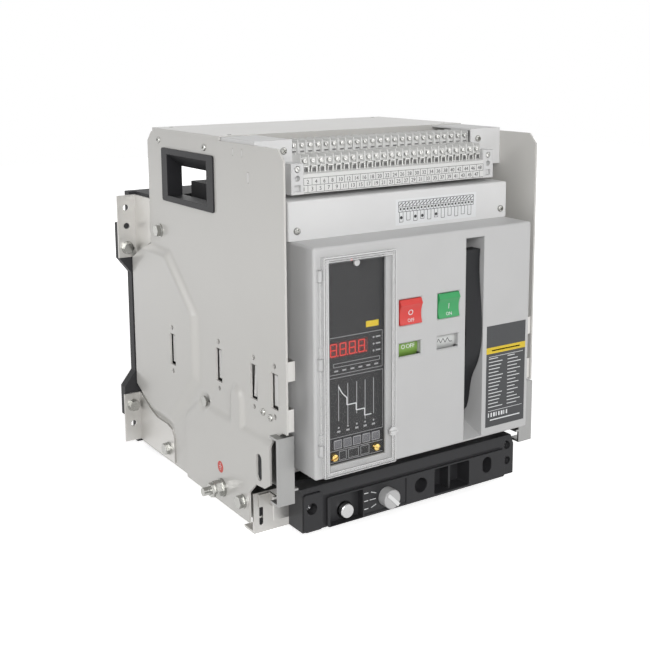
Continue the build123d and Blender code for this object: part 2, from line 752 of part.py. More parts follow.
# Secondary terminals: the wiring block across the top front
TERMINAL_COLUMNS = 24
TERMINAL_HALF = OUTER_X - 49
TERMINAL_BOTTOM = 374.7
NUMBER_FACE = 40.0
NUMBER_TOP = TERMINAL_BOTTOM + 21.3
TIER_ONE_FACE = 46.0
TIER_ONE_TOP = NUMBER_TOP + 20.0
TIER_TWO_FACE = 68.0
TIER_TWO_TOP = TIER_ONE_TOP + 14.0
TERMINAL_REAR = 100.0
RIB_T = 1.3
RIB_PROUD = 3.0
END_WIDTH = 15.5
END_TOP = NUMBER_TOP + 12.0
END_WELLS = ((6.0, 3.6), (16.0, 3.2))
END_WELL_DEPTH = 6.0
END_SOCKET = (3.0, 8.0, 7.0, 4.0)
BRACKET_PLATE_FACE = 63.0
BRACKET_PLATE = (388.0, 432.0)
BRACKET_PLATE_T = 2.0
BRACKET_PLATE_STEP = 20.0


def terminal_block():
    """A stepped moulding with two tiers of clamps between thin ribs."""
    profile = (
        (NUMBER_FACE, TERMINAL_BOTTOM),
        (NUMBER_FACE, NUMBER_TOP),
        (TIER_ONE_FACE + RIB_PROUD, NUMBER_TOP + RIB_PROUD),
        (TIER_ONE_FACE + RIB_PROUD, TIER_ONE_TOP - RIB_PROUD),
        (TIER_TWO_FACE + RIB_PROUD, TIER_ONE_TOP - RIB_PROUD),
        (TIER_TWO_FACE + RIB_PROUD, TIER_TWO_TOP - RIB_PROUD),
        (TERMINAL_REAR, TIER_TWO_TOP - RIB_PROUD),
        (TERMINAL_REAR, TERMINAL_BOTTOM),
    )
    body = side_slab(profile, -TERMINAL_HALF, TERMINAL_HALF)
    pitch = 2 * TERMINAL_HALF / TERMINAL_COLUMNS
    for column in range(TERMINAL_COLUMNS + 1):
        x = -TERMINAL_HALF + column * pitch
        left = max(x - RIB_T / 2, -TERMINAL_HALF)
        right = min(x + RIB_T / 2, TERMINAL_HALF)
        body += block(left, right, TIER_ONE_FACE, TIER_TWO_FACE, NUMBER_TOP, TIER_ONE_TOP)
        body += block(left, right, TIER_TWO_FACE, TERMINAL_REAR, NUMBER_TOP, TIER_TWO_TOP)
    return body


def terminal_end():
    """The left end block, with its screw well, round hole and square recess."""
    x0 = -TERMINAL_HALF - END_WIDTH
    end = block(x0, -TERMINAL_HALF, NUMBER_FACE, BRACKET_PLATE_FACE, TERMINAL_BOTTOM, END_TOP)
    middle = x0 + END_WIDTH / 2
    for drop, radius in END_WELLS:
        end -= pin_y(middle, END_TOP - drop, radius, NUMBER_FACE, NUMBER_FACE + END_WELL_DEPTH)
    rise, wide, tall, deep = END_SOCKET
    low = TERMINAL_BOTTOM + rise
    return end - block(middle - wide / 2, middle + wide / 2, NUMBER_FACE, NUMBER_FACE + deep, low, low + tall)


def terminal_bracket():
    """The left white bracket that hangs the wiring block between the side plates."""
    low, high = BRACKET_PLATE
    inner = -TERMINAL_HALF
    bracket = block(-INNER_X, inner, BRACKET_PLATE_FACE, BRACKET_PLATE_FACE + BRACKET_PLATE_T, low, high)
    bracket += block(
        -INNER_X, inner - 1, BRACKET_PLATE_FACE, TOP_COVER_FRONT, high - BRACKET_PLATE_T, high,
    )
    bracket += block(
        -INNER_X, -INNER_X + BRACKET_PLATE_T, BRACKET_PLATE_FACE, TOP_COVER_FRONT,
        low + BRACKET_PLATE_STEP, high,
    )
    return bracket


save("terminal_block", terminal_block())
save("terminal_ends", Compound(children=[terminal_end(), other_side(terminal_end())]))
save("terminal_brackets", Compound(children=[terminal_bracket(), other_side(terminal_bracket())]))

# Bolts on the side plates and wall brackets
HEX_ACROSS = 13.0
HEX_T = 5.5
WASHER_R = 8.5
WASHER_T = 1.6
BOLTS = ((306.0, 304.0, 0.0), (93.0, 21.0, LOW_RISE), (297.0, 18.5, BRACKET_T))
EARTH_DEPTH = 143.0
EARTH_HEIGHT = 20.0
EARTH_R = 5.0
EARTH_LENGTH = 26.0
EARTH_WASHER_R = 11.0
EARTH_NUT = 17.0
EARTH_NUT_T = 8.0
EARTH_LOCK_R = 9.4
EARTH_LOCK_NUT = 15.0
EARTH_LOCK_T = 4.0
RIVET_R = 6.5
RIVET_T = 2.5


def side_bolts():
    """Hexagon heads on washers, and one broad rivet, on each plate."""
    pieces = []
    for depth, height, rise in BOLTS:
        face = -OUTER_X - rise
        bolt = pin_x(depth, height, WASHER_R, face - WASHER_T, face)
        bolt += hex_x(depth, height, HEX_ACROSS, face - WASHER_T - HEX_T, face - WASHER_T)
        pieces.append(bolt)
    pieces.append(pin_x(RIVET_DEPTH, RIVET_HEIGHT, RIVET_R, -OUTER_X - RIVET_T, -OUTER_X))
    return Compound(children=pieces + [other_side(piece) for piece in pieces])


def earth_bolts():
    """A stud with two washers and two nuts on each side, for the earth wire."""
    face = -OUTER_X - LOW_RISE
    stud = pin_x(EARTH_DEPTH, EARTH_HEIGHT, EARTH_R, face - EARTH_LENGTH, face)
    stud += pin_x(EARTH_DEPTH, EARTH_HEIGHT, EARTH_WASHER_R, face - 2 * WASHER_T, face)
    near = face - 2 * WASHER_T
    stud += hex_x(EARTH_DEPTH, EARTH_HEIGHT, EARTH_NUT, near - EARTH_NUT_T, near)
    far = near - EARTH_NUT_T
    stud += pin_x(EARTH_DEPTH, EARTH_HEIGHT, EARTH_LOCK_R, far - WASHER_T, far)
    stud += hex_x(EARTH_DEPTH, EARTH_HEIGHT, EARTH_LOCK_NUT, far - WASHER_T - EARTH_LOCK_T, far - WASHER_T)
    return Compound(children=[stud, other_side(stud)])


def clamp_bolts():
    """The bolts that hold the wall brackets to the rear base."""
    pieces = []
    for height in CLAMP_BOLT_HEIGHTS:
        bolt = pin_y(-WALL_HOLE_X, height, WASHER_R, BRACKET_FACE - WASHER_T, BRACKET_FACE)
        face = BRACKET_FACE - WASHER_T
        bolt += hex_y(-WALL_HOLE_X, height, HEX_ACROSS, face - HEX_T, face)
        pieces.append(bolt)
        pieces.append(other_side(bolt))
    return Compound(children=pieces)


save("side_bolts", side_bolts())
save("earth_bolts", earth_bolts())
save("clamp_bolts", clamp_bolts())

# Racking gear: the lead screw, its nut bar with two arms, and its bearing
SCREW_FRONT = 22.0
SCREW_HEAD_R = 8.0
SCREW_HEAD_END = 33.0
SCREW_SOCKET = 8.0
SCREW_SOCKET_DEPTH = 8.0
SCREW_REAR = 300.0
BEARING = (288.0, 304.0)
BEARING_HALF = 14.0
ARM_THICK = 12.0
ARM_X = (128.0, 140.0)
ARM_TOP = 78.0
NUT_BAR = (160.0, 184.0)
NUT_BAR_HEIGHT = (16.0, 41.0)
ARM_FRONT = NUT_BAR[1] - ARM_THICK


def racking_screw():
    """A long spindle with a hexagon socket in its head."""
    screw = pin_y(CRANK_X, CRANK_HEIGHT, SCREW_R, SCREW_HEAD_END, SCREW_REAR)
    screw += pin_y(CRANK_X, CRANK_HEIGHT, SCREW_HEAD_R, SCREW_FRONT, SCREW_HEAD_END)
    screw -= hex_y(CRANK_X, CRANK_HEIGHT, SCREW_SOCKET, SCREW_FRONT, SCREW_FRONT + SCREW_SOCKET_DEPTH)
    return screw


def screw_bearing():
    """A block on the pan that holds the spindle's far end."""
    bearing = block(
        CRANK_X - BEARING_HALF, CRANK_X + BEARING_HALF, BEARING[0], BEARING[1],
        PAN_FLOOR, CRANK_HEIGHT + BEARING_HALF,
    )
    return bearing - pin_y(CRANK_X, CRANK_HEIGHT, SCREW_R + SHAFT_GAP, *BEARING)


def racking_carriage():
    """The nut bar across the pan, with an upright arm near each end."""
    low, high = NUT_BAR_HEIGHT
    bar = block(-ARM_X[1], ARM_X[1], NUT_BAR[0], NUT_BAR[1], low, high)
    for side in (-1, 1):
        bar += block(side * ARM_X[0], side * ARM_X[1], ARM_FRONT, NUT_BAR[1], high, ARM_TOP)
    return bar - pin_y(CRANK_X, CRANK_HEIGHT, SCREW_R + SHAFT_GAP, *NUT_BAR)


save("racking_screw", racking_screw())
save("screw_bearing", screw_bearing())
save("racking_carriage", racking_carriage())

# Controls on the beam
KNOB_PROUD = 13.0
KNOB_SHAFT_END = 34.0
KNOB_CHAMFER = 1.2
KNOB_SLOT = 2.4
KNOB_SLOT_DEPTH = 2.0
KNOB_TURN = 45.0


def position_knob():
    """A round knob with a finger rib, on a shaft through the beam."""
    face = BEAM_FRONT - BEAM_PANEL_PROUD + PLATE_RECESS_DEPTH - RUN_GAP
    knob = pin_y(KNOB_X, KNOB_HEIGHT, KNOB_R, face - KNOB_PROUD, face)
    knob = chamfer(knob.edges().sort_by(Axis.Y)[0], KNOB_CHAMFER)
    slot = block(
        -KNOB_R, KNOB_R, face - KNOB_PROUD, face - KNOB_PROUD + KNOB_SLOT_DEPTH,
        -KNOB_SLOT / 2, KNOB_SLOT / 2,
    )
    turned = Pos(KNOB_X, 0, z_at(KNOB_HEIGHT)) * Rot(0, KNOB_TURN, 0) * Pos(0, 0, -z_at(0)) * slot
    knob -= turned
    return knob + pin_y(KNOB_X, KNOB_HEIGHT, KNOB_SHAFT_R, face, KNOB_SHAFT_END)


def lock_button():
    """A metal push button with a chamfered rim, in its pocket."""
    front = BEAM_FRONT - BEAM_PANEL_PROUD + LOCK_SUNK
    button = pin_y(LOCK_X, LOCK_HEIGHT, LOCK_R, front, LOCK_END)
    return chamfer(button.edges().sort_by(Axis.Y)[0], 1)


save("position_knob", position_knob())
save("lock_button", lock_button())

# Front cover: the light-grey moulding over the mechanism
COVER_HALF = COVER_WIDTH / 2
COVER_ROUND = 3.0
CONTROLLER = (-132.5, -60.0, 89.0, 312.0)
BUTTON_W = 30.0
BUTTON_H = 28.5
BUTTON_HEIGHT = 244.0
OFF_X = -26.0
ON_X = 27.5
BUTTON_PROUD = 3.0
BUTTON_RIDGE = 0.6
BUTTON_DISH = 3.0
BUTTON_CAP_T = 9.0
BUTTON_STEM_R = 4.0
BUTTON_STEM_END = 48.0
WINDOW_W = 30.0
WINDOW_H = 15.0
WINDOW_GAP = 20.75
WINDOW_HEIGHT = BUTTON_HEIGHT - BUTTON_H / 2 - WINDOW_GAP - WINDOW_H / 2
WINDOW_BEVEL = 1.4
GRIP_SLOT = (52.0, 79.0)
GRIP_SLOT_TOP = 317.0
SLOT_WALL = 2.0
SLOT_DEPTH = 34.0
SLOT_LEDGE = 97.0
HANDLE_PIVOT = (18.0, 113.0)
HANDLE_PIN_R = 6.0
FLAG_AXIS_DEPTH = 9.0
FLAG_PIN_R = 2.5
FLAG_R = 20.0
FLAG_T = 1.5
FLAG_CHEEK_T = 2.5
FLAG_CHEEK_HALF = 7.0
FLAG_CHEEK_LAP = 3.0
FLAG_OPEN = 9.0
DOOR = (-143.0, -50.0, 79.0, 317.0)
DOOR_GAP = 0.4
HINGE_R = 2.4
HINGE_PIN_R = 1.2
HINGE_HEIGHTS = (104.0, 198.0, 292.0)
HINGE_KNUCKLE = 12.0
HINGE_X = DOOR[0] - HINGE_R
HINGE_DEPTH = COVER_FRONT - HINGE_R - DOOR_GAP


def window_box(x, d0, d1, width, high, height, gap=0.0):
    """The prism of a rectangular window, made smaller all round by gap."""
    return block(
        x - width / 2 + gap, x + width / 2 - gap, d0, d1, height - high / 2 + gap, height + high / 2 - gap,
    )


def window_bevel(x, width, high, height):
    """The sloped rim that is cut round a window of the cover."""
    outer = Pos(x, y_at(COVER_FRONT), z_at(height)) * (
        Plane.XZ * Rectangle(width + 2 * WINDOW_BEVEL, high + 2 * WINDOW_BEVEL)
    )
    inner = Pos(x, y_at(COVER_FRONT + WINDOW_BEVEL), z_at(height)) * (Plane.XZ * Rectangle(width, high))
    return loft([outer.face(), inner.face()], ruled=True)


def front_cover():
    """A moulded shell, open to the rear, with its windows, handle slot and flag cheeks."""
    shell = block(-COVER_HALF, COVER_HALF, COVER_FRONT, COVER_REAR, COVER_BOTTOM, COVER_TOP)
    outline = [edge for edge in shell.edges() if edge.center().Y < y_at(COVER_REAR - 1)]
    shell = fillet(outline, COVER_ROUND)
    inner_front = COVER_FRONT + COVER_WALL
    shell -= block(
        -COVER_HALF + COVER_WALL, COVER_HALF - COVER_WALL, inner_front, COVER_REAR,
        COVER_BOTTOM + COVER_WALL, COVER_TOP - COVER_WALL,
    )
    x0, x1, low, high = CONTROLLER
    shell -= block(x0, x1, COVER_FRONT, inner_front, low, high)
    for x in (OFF_X, ON_X):
        shell -= window_box(x, COVER_FRONT, inner_front, BUTTON_W, BUTTON_H, BUTTON_HEIGHT)
        shell -= window_box(x, COVER_FRONT, inner_front, WINDOW_W, WINDOW_H, WINDOW_HEIGHT)
        shell -= window_bevel(x, BUTTON_W, BUTTON_H, BUTTON_HEIGHT)
        shell -= window_bevel(x, WINDOW_W, WINDOW_H, WINDOW_HEIGHT)
        for side in (-1, 1):
            near = x + side * (WINDOW_W / 2 + RUN_GAP)
            far = near + side * FLAG_CHEEK_T
            cheek = block(
                near, far, inner_front, FLAG_AXIS_DEPTH + FLAG_PIN_R + FLAG_CHEEK_LAP,
                WINDOW_HEIGHT - FLAG_CHEEK_HALF, WINDOW_HEIGHT + FLAG_CHEEK_HALF,
            )
            shell += cheek - pin_x(FLAG_AXIS_DEPTH, WINDOW_HEIGHT, FLAG_PIN_R + SHAFT_GAP, near, far)
    left, right = GRIP_SLOT
    shell += block(
        left - SLOT_WALL, right + SLOT_WALL, inner_front, SLOT_DEPTH + SLOT_WALL, COVER_BOTTOM,
        GRIP_SLOT_TOP + SLOT_WALL,
    )
    hollow = (
        (COVER_FRONT, COVER_BOTTOM + COVER_WALL), (COVER_FRONT, GRIP_SLOT_TOP),
        (SLOT_DEPTH, GRIP_SLOT_TOP), (SLOT_DEPTH, SLOT_LEDGE),
    )
    shell -= side_slab(hollow, left, right)
    shell -= pin_x(*HANDLE_PIVOT, HANDLE_PIN_R + SHAFT_GAP, left - SLOT_WALL, right + SLOT_WALL)
    for height in HINGE_HEIGHTS:
        knuckle = pin_z(HINGE_X, HINGE_DEPTH, HINGE_R, height, height + HINGE_KNUCKLE)
        knuckle += block(
            HINGE_X - HINGE_R, HINGE_X, HINGE_DEPTH, COVER_FRONT, height, height + HINGE_KNUCKLE,
        )
        shell += knuckle
        shell -= pin_z(HINGE_X, HINGE_DEPTH, HINGE_PIN_R + SHAFT_GAP, height, height + HINGE_KNUCKLE)
    return shell


save("front_cover", front_cover())

# Shoulder cover: the white moulding above the front cover
SHOULDER_FACE = 27.6
SHOULDER_REAR = 165.0
SHOULDER_WALL = 3.0
SHOULDER_ROUND = 2.5
BREAKER_HALF = BREAKER_WIDTH / 2


def shoulder_cover():
    """A white shell over the secondary contacts."""
    shell = block(-BREAKER_HALF, BREAKER_HALF, SHOULDER_FACE, SHOULDER_REAR, COVER_TOP, BREAKER_TOP)
    outline = [
        edge for edge in shell.edges()
        if edge.center().Z > z_at(COVER_TOP + 1) and edge.center().Y < y_at(SHOULDER_REAR - 1)
    ]
    shell = fillet(outline, SHOULDER_ROUND)
    return shell - block(
        -BREAKER_HALF + SHOULDER_WALL, BREAKER_HALF - SHOULDER_WALL, SHOULDER_FACE + SHOULDER_WALL,
        SHOULDER_REAR, COVER_TOP, BREAKER_TOP - SHOULDER_WALL,
    )


save("shoulder_cover", shoulder_cover())

# Chassis: a folded steel U that ties the mechanism to the pole base
CHASSIS_T = 3.0
CHASSIS_FLANGE = 16.0
POLE_BASE_FRONT = 160.0
POLE_BASE_REAR = 296.0
SHAFT_DEPTH = 140.0
SHAFT_HEIGHT = 190.0
SHAFT_R = 9.0
LUG_DEPTHS = ((70.0, 110.0), (240.0, 280.0))
LUG_TOP = 76.0
CHASSIS_INNER = BREAKER_HALF - CHASSIS_T


def chassis():
    """Two side walls and a floor, with a flange for the front cover and bearings for the shaft."""
    sheet = block(
        -CHASSIS_INNER, CHASSIS_INNER, COVER_REAR, POLE_BASE_FRONT, BREAKER_BOTTOM,
        BREAKER_BOTTOM + CHASSIS_T,
    )
    for side in (-1, 1):
        outer = side * BREAKER_HALF
        inner = side * CHASSIS_INNER
        sheet += block(outer, inner, COVER_REAR, POLE_BASE_REAR, BREAKER_BOTTOM, COVER_TOP)
        sheet += block(
            outer, outer - side * CHASSIS_FLANGE, COVER_REAR, COVER_REAR + CHASSIS_T,
            BREAKER_BOTTOM, COVER_TOP,
        )
        sheet -= pin_x(SHAFT_DEPTH, SHAFT_HEIGHT, SHAFT_R + SHAFT_GAP, outer, inner)
    return sheet


def support_lugs():
    """Four feet that slide on the rails' ledges."""
    lugs = []
    reach = GRIP_INNER - RUN_GAP * 2
    for d0, d1 in LUG_DEPTHS:
        lug = block(-reach, -BREAKER_HALF, d0, d1, BREAKER_BOTTOM, LUG_TOP)
        lugs.append(lug)
        lugs.append(other_side(lug))
    return Compound(children=lugs)


save("breaker_chassis", chassis())
save("support_lugs", support_lugs())

# Pole base: the black moulding with one cell for each pole
CELL_HALF = 40.0
CELL_FRONT = 172.0
CELL_REAR = 284.0
POLE_BASE_TOP = 300.0
CT_HALF_HEIGHT = 24.0
CT_DEPTHS = (252.0, 276.0)
CELL_FLOOR = LOWER_BAR_HEIGHT - CT_HALF_HEIGHT - RUN_GAP
LINK_SLOT_W = 14.0
LINK_SLOT = (150.0, 215.0)
CHANNEL_GAP = 3.0
ARM_GAP = 0.3


def pole_base():
    """A block with three open cells, bar openings, link slots and two bottom channels."""
    base = block(
        -CHASSIS_INNER, CHASSIS_INNER, POLE_BASE_FRONT, POLE_BASE_REAR, BREAKER_BOTTOM, POLE_BASE_TOP,
    )
    half = BAR_T / 2
    for index in range(POLES):
        x = pole_x(index)
        base -= block(x - CELL_HALF, x + CELL_HALF, CELL_FRONT, CELL_REAR, CELL_FLOOR, POLE_BASE_TOP)
        for height in (LOWER_BAR_HEIGHT, UPPER_BAR_HEIGHT):
            base -= block(
                x - BAR_WIDTH / 2, x + BAR_WIDTH / 2, CELL_REAR, POLE_BASE_REAR, height - half, height + half,
            )
        base -= block(
            x - LINK_SLOT_W / 2, x + LINK_SLOT_W / 2, POLE_BASE_FRONT, CELL_FRONT, *LINK_SLOT,
        )
    for side in (-1, 1):
        base -= block(
            side * (ARM_X[0] - CHANNEL_GAP), side * (ARM_X[1] + CHANNEL_GAP), ARM_FRONT - ARM_GAP,
            POLE_BASE_REAR, BREAKER_BOTTOM, ARM_TOP + CHANNEL_GAP,
        )
    return base


save("pole_base", pole_base())

# Arc chutes: one box for each pole, with steel splitter plates inside
CHUTE_HALF = 43.0
CHUTE_DEPTHS = (168.0, 290.0)
CHUTE_TOP = 366.0
CHUTE_WALL = 3.0
CHUTE_VENTS = 5
VENT_HALF = 32.0
VENT_W = 6.0
SPLITTERS = 8
SPLITTER_T = 1.5
SPLITTER_HEIGHT = 48.0
SPLITTER_LOW = 306.0
SPLITTER_NOTCH = (8.0, 22.0)


def arc_chutes():
    """Three vented boxes, open below."""
    front, rear = CHUTE_DEPTHS
    chutes = []
    for index in range(POLES):
        x = pole_x(index)
        chute = block(x - CHUTE_HALF, x + CHUTE_HALF, front, rear, POLE_BASE_TOP, CHUTE_TOP)
        chute -= block(
            x - CHUTE_HALF + CHUTE_WALL, x + CHUTE_HALF - CHUTE_WALL, front + CHUTE_WALL,
            rear - CHUTE_WALL, POLE_BASE_TOP, CHUTE_TOP - CHUTE_WALL,
        )
        pitch = (rear - front) / (CHUTE_VENTS + 1)
        for vent in range(CHUTE_VENTS):
            depth = front + (vent + 1) * pitch
            chute -= block(
                x - VENT_HALF, x + VENT_HALF, depth - VENT_W / 2, depth + VENT_W / 2,
                CHUTE_TOP - CHUTE_WALL, CHUTE_TOP,
            )
        chutes.append(chute)
    return Compound(children=chutes)


def arc_splitters():
    """A row of notched plates in each chute."""
    front, rear = CHUTE_DEPTHS
    plates = []
    half = CHUTE_HALF - CHUTE_WALL
    notch_half, notch_high = SPLITTER_NOTCH
    pitch = (rear - front) / (SPLITTERS + 1)
    for index in range(POLES):
        x = pole_x(index)
        for number in range(SPLITTERS):
            depth = front + (number + 1) * pitch
            outline = (
                (x - half, SPLITTER_LOW), (x - half, SPLITTER_LOW + SPLITTER_HEIGHT),
                (x + half, SPLITTER_LOW + SPLITTER_HEIGHT), (x + half, SPLITTER_LOW),
                (x + notch_half, SPLITTER_LOW), (x, SPLITTER_LOW + notch_high),
                (x - notch_half, SPLITTER_LOW),
            )
            plates.append(front_slab(outline, depth - SPLITTER_T / 2, depth + SPLITTER_T / 2))
    return Compound(children=plates)


save("arc_chutes", arc_chutes())
save("arc_splitters", arc_splitters())

# Contacts: fixed terminals, moving arms, links and the shaft that drives them
ARM_HALF = 20.0
ARM_T = 14.0
CONTACT_PIVOT = (225.0, 136.0)
CONTACT_PIN_R = 5.0
CONTACT_REACH = 116.0
CONTACT_SWING = 22.0
LINK_REACH = 44.0
CRANK_R = 20.0
SHAFT_SWING = 50.0
CRANK_ROOT = 7.0
CRANK_EYE_R = 5.0
CRANK_PIN_R = 3.0
LINK_HALF = 5.0
CHEEK_T = 6.0
UPPER_TERMINAL_FRONT = 257.0
CONTACT_PAD_INSET = 3.0
CONTACT_PAD_LOW = 16.0
CONTACT_PAD_HIGH = 2.0
ARM_EYE = 1.0
ARM_SLOT_HALF = 12.0
TERMINAL_CHEEK_HALF = 10.0
CONTACT_PAD_T = 3.0
JAW_T = 8.0
JAW_FRONT = 297.0
JAW_REAR = 344.0
JAW_HALF = 27.0
JAW_FINGERS = 6
JAW_ROOT = 12.0
JAW_SLIT = 1.2
TERMINAL_END = 308.0
LOWER_TERMINAL_FRONT = 212.0


def swung(pivot, reach, angle):
    """The (depth, height) of a point above a pivot that leans forward by an angle."""
    lean = radians(angle)
    return pivot[0] - reach * sin(lean), pivot[1] + reach * cos(lean)


OPEN_LEAN = CONTACT_SWING / 2
CONTACT_LINK_PIN = swung(CONTACT_PIVOT, LINK_REACH, OPEN_LEAN)
CRANK_PIN = (
    SHAFT_DEPTH - CRANK_R * sin(radians(SHAFT_SWING / 2)),
    SHAFT_HEIGHT - CRANK_R * cos(radians(SHAFT_SWING / 2)),
)


def moving_contacts():
    """Three arms on their pivot pins, shown open."""
    arms = []
    for index in range(POLES):
        x = pole_x(index)
        depth, height = CONTACT_PIVOT
        arm = block(
            x - ARM_HALF, x + ARM_HALF, depth - ARM_T / 2, depth + ARM_T / 2,
            height, height + CONTACT_REACH,
        )
        arm += pin_x(depth, height, ARM_T / 2 + ARM_EYE, x - ARM_HALF, x + ARM_HALF)
        pad_half = ARM_HALF - CONTACT_PAD_INSET
        tip = height + CONTACT_REACH
        arm += block(
            x - pad_half, x + pad_half, depth + ARM_T / 2, depth + ARM_T / 2 + CONTACT_PAD_T,
            tip - CONTACT_PAD_LOW, tip - CONTACT_PAD_HIGH,
        )
        arm -= block(
            x - LINK_HALF - 1, x + LINK_HALF + 1, depth - ARM_T, depth + ARM_T / 2 - 2,
            height + LINK_REACH - ARM_SLOT_HALF, height + LINK_REACH + ARM_SLOT_HALF,
        )
        pivot = Pos(0, y_at(depth), z_at(height))
        arm = pivot * Rot(OPEN_LEAN, 0, 0) * pivot.inverse() * arm
        arm += pin_x(depth, height, CONTACT_PIN_R, x - ARM_HALF - CHEEK_T, x + ARM_HALF + CHEEK_T)
        arms.append(arm)
    return Compound(children=arms)


def upper_terminals():
    """Three flat bars, each with a fixed contact at its front end."""
    bars = []
    half = BAR_T / 2
    for index in range(POLES):
        x = pole_x(index)
        bars.append(block(
            x - BAR_WIDTH / 2, x + BAR_WIDTH / 2, UPPER_TERMINAL_FRONT, TERMINAL_END,
            UPPER_BAR_HEIGHT - half, UPPER_BAR_HEIGHT + half,
        ))
    return Compound(children=bars)


def lower_terminals():
    """Three flat bars, each with two cheeks that carry a moving arm."""
    bars = []
    half = BAR_T / 2
    depth, height = CONTACT_PIVOT
    for index in range(POLES):
        x = pole_x(index)
        bar = block(
            x - BAR_WIDTH / 2, x + BAR_WIDTH / 2, LOWER_TERMINAL_FRONT, TERMINAL_END,
            LOWER_BAR_HEIGHT - half, LOWER_BAR_HEIGHT + half,
        )
        for side in (-1, 1):
            near = x + side * (ARM_HALF + RUN_GAP)
            far = x + side * (ARM_HALF + CHEEK_T)
            cheek = block(
                near, far, depth - TERMINAL_CHEEK_HALF, depth + TERMINAL_CHEEK_HALF,
                LOWER_BAR_HEIGHT, height + TERMINAL_CHEEK_HALF,
            )
            bar += cheek
            bar -= pin_x(depth, height, CONTACT_PIN_R + SHAFT_GAP, near, far)
        bars.append(bar)
    return Compound(children=bars)


def contact_links():
    """Three insulating links from the shaft's cranks to the arms."""
    links = []
    (d0, h0), (d1, h1) = CRANK_PIN, CONTACT_LINK_PIN
    for index in range(POLES):
        x = pole_x(index)
        run = side_slab(
            ((d0, h0 - LINK_HALF), (d0, h0 + LINK_HALF), (d1, h1 + LINK_HALF), (d1, h1 - LINK_HALF)),
            x - LINK_HALF, x + LINK_HALF,
        )
        run += pin_x(d0, h0, LINK_HALF + 1, x - LINK_HALF, x + LINK_HALF)
        run -= pin_x(d0, h0, CRANK_PIN_R + SHAFT_GAP, x - LINK_HALF, x + LINK_HALF)
        links.append(run)
    return Compound(children=links)


def main_shaft():
    """The shaft across all poles, with a forked crank for each link."""
    shaft = pin_x(SHAFT_DEPTH, SHAFT_HEIGHT, SHAFT_R, -BREAKER_HALF, BREAKER_HALF)
    d0, h0 = CRANK_PIN
    for index in range(POLES):
        x = pole_x(index)
        for side in (-1, 1):
            near = x + side * (LINK_HALF + RUN_GAP)
            far = near + side * CHEEK_T
            cheek = side_slab(
                (
                    (SHAFT_DEPTH - CRANK_ROOT, SHAFT_HEIGHT), (SHAFT_DEPTH + CRANK_ROOT, SHAFT_HEIGHT),
                    (d0 + CRANK_EYE_R, h0), (d0 - CRANK_EYE_R, h0),
                ),
                near, far,
            )
            cheek += pin_x(d0, h0, CRANK_EYE_R, near, far)
            shaft += cheek
        shaft += pin_x(d0, h0, CRANK_PIN_R, x - LINK_HALF - RUN_GAP, x + LINK_HALF + RUN_GAP)
    return shaft


def finger_clusters():
    """Six pairs of sprung finger jaws that join the breaker to the fixed bars."""
    jaws = []
    half = BAR_T / 2 + RUN_GAP
    pitch = 2 * JAW_HALF / JAW_FINGERS
    for index in range(POLES):
        x = pole_x(index)
        for height in (LOWER_BAR_HEIGHT, UPPER_BAR_HEIGHT):
            for side in (-1, 1):
                near = height + side * half
                jaw = block(x - JAW_HALF, x + JAW_HALF, JAW_FRONT, JAW_REAR, near, near + side * JAW_T)
                for finger in range(1, JAW_FINGERS):
                    slit = x - JAW_HALF + finger * pitch
                    jaw -= block(
                        slit - JAW_SLIT / 2, slit + JAW_SLIT / 2, JAW_FRONT + JAW_ROOT, JAW_REAR,
                        near, near + side * JAW_T,
                    )
                jaws.append(jaw)
    return Compound(children=jaws)


def current_transformers():
    """Three rings round the lower terminals."""
    rings = []
    for index in range(POLES):
        x = pole_x(index)
        ring = block(
            x - CELL_HALF, x + CELL_HALF, *CT_DEPTHS,
            LOWER_BAR_HEIGHT - CT_HALF_HEIGHT, LOWER_BAR_HEIGHT + CT_HALF_HEIGHT,
        )
        ring -= block(
            x - BAR_WIDTH / 2 - RUN_GAP, x + BAR_WIDTH / 2 + RUN_GAP, *CT_DEPTHS,
            LOWER_BAR_HEIGHT - BAR_T / 2 - RUN_GAP, LOWER_BAR_HEIGHT + BAR_T / 2 + RUN_GAP,
        )
        rings.append(ring)
    return Compound(children=rings)


save("moving_contacts", moving_contacts())
save("upper_terminals", upper_terminals())
save("lower_terminals", lower_terminals())
save("contact_links", contact_links())
save("main_shaft", main_shaft())
save("finger_clusters", finger_clusters())
save("current_transformers", current_transformers())

# Mechanism: two frame plates, the charging cam with its ratchet wheel, and the closing spring
FRAME_HALF = 45.0
FRAME_PLATE_T = 3.0
FRAME_DEPTHS = (55.0, 158.0)
SEAT_HALF = 14.0
FRAME_NOSE = 20.0
FRAME_BACK = (30.0, 60.0)
FRAME_TOP = 300.0
CAM_AXIS = (95.0, 115.0)
CAM_SHAFT_R = 8.0
CAM_SHAFT_LAP = 3.0
CAM_SHAFT_END = 60.0
CAM_R = 22.0
CAM_THROW = 8.0
CAM_X = (-20.0, -8.0)
RATCHET_R = 26.0
RATCHET_TEETH = 20
RATCHET_TOOTH = 3.0
RATCHET_X = (48.0, 54.0)
SPRING_X = 15.0
SPRING_DEPTH = 75.0
SPRING_R = 13.0
SPRING_WIRE_R = 2.2
SPRING_LOW = 150.0
SPRING_HIGH = 280.0
SPRING_TURNS = 7
SPRING_SIDES = 12
TIE_T = 4.0


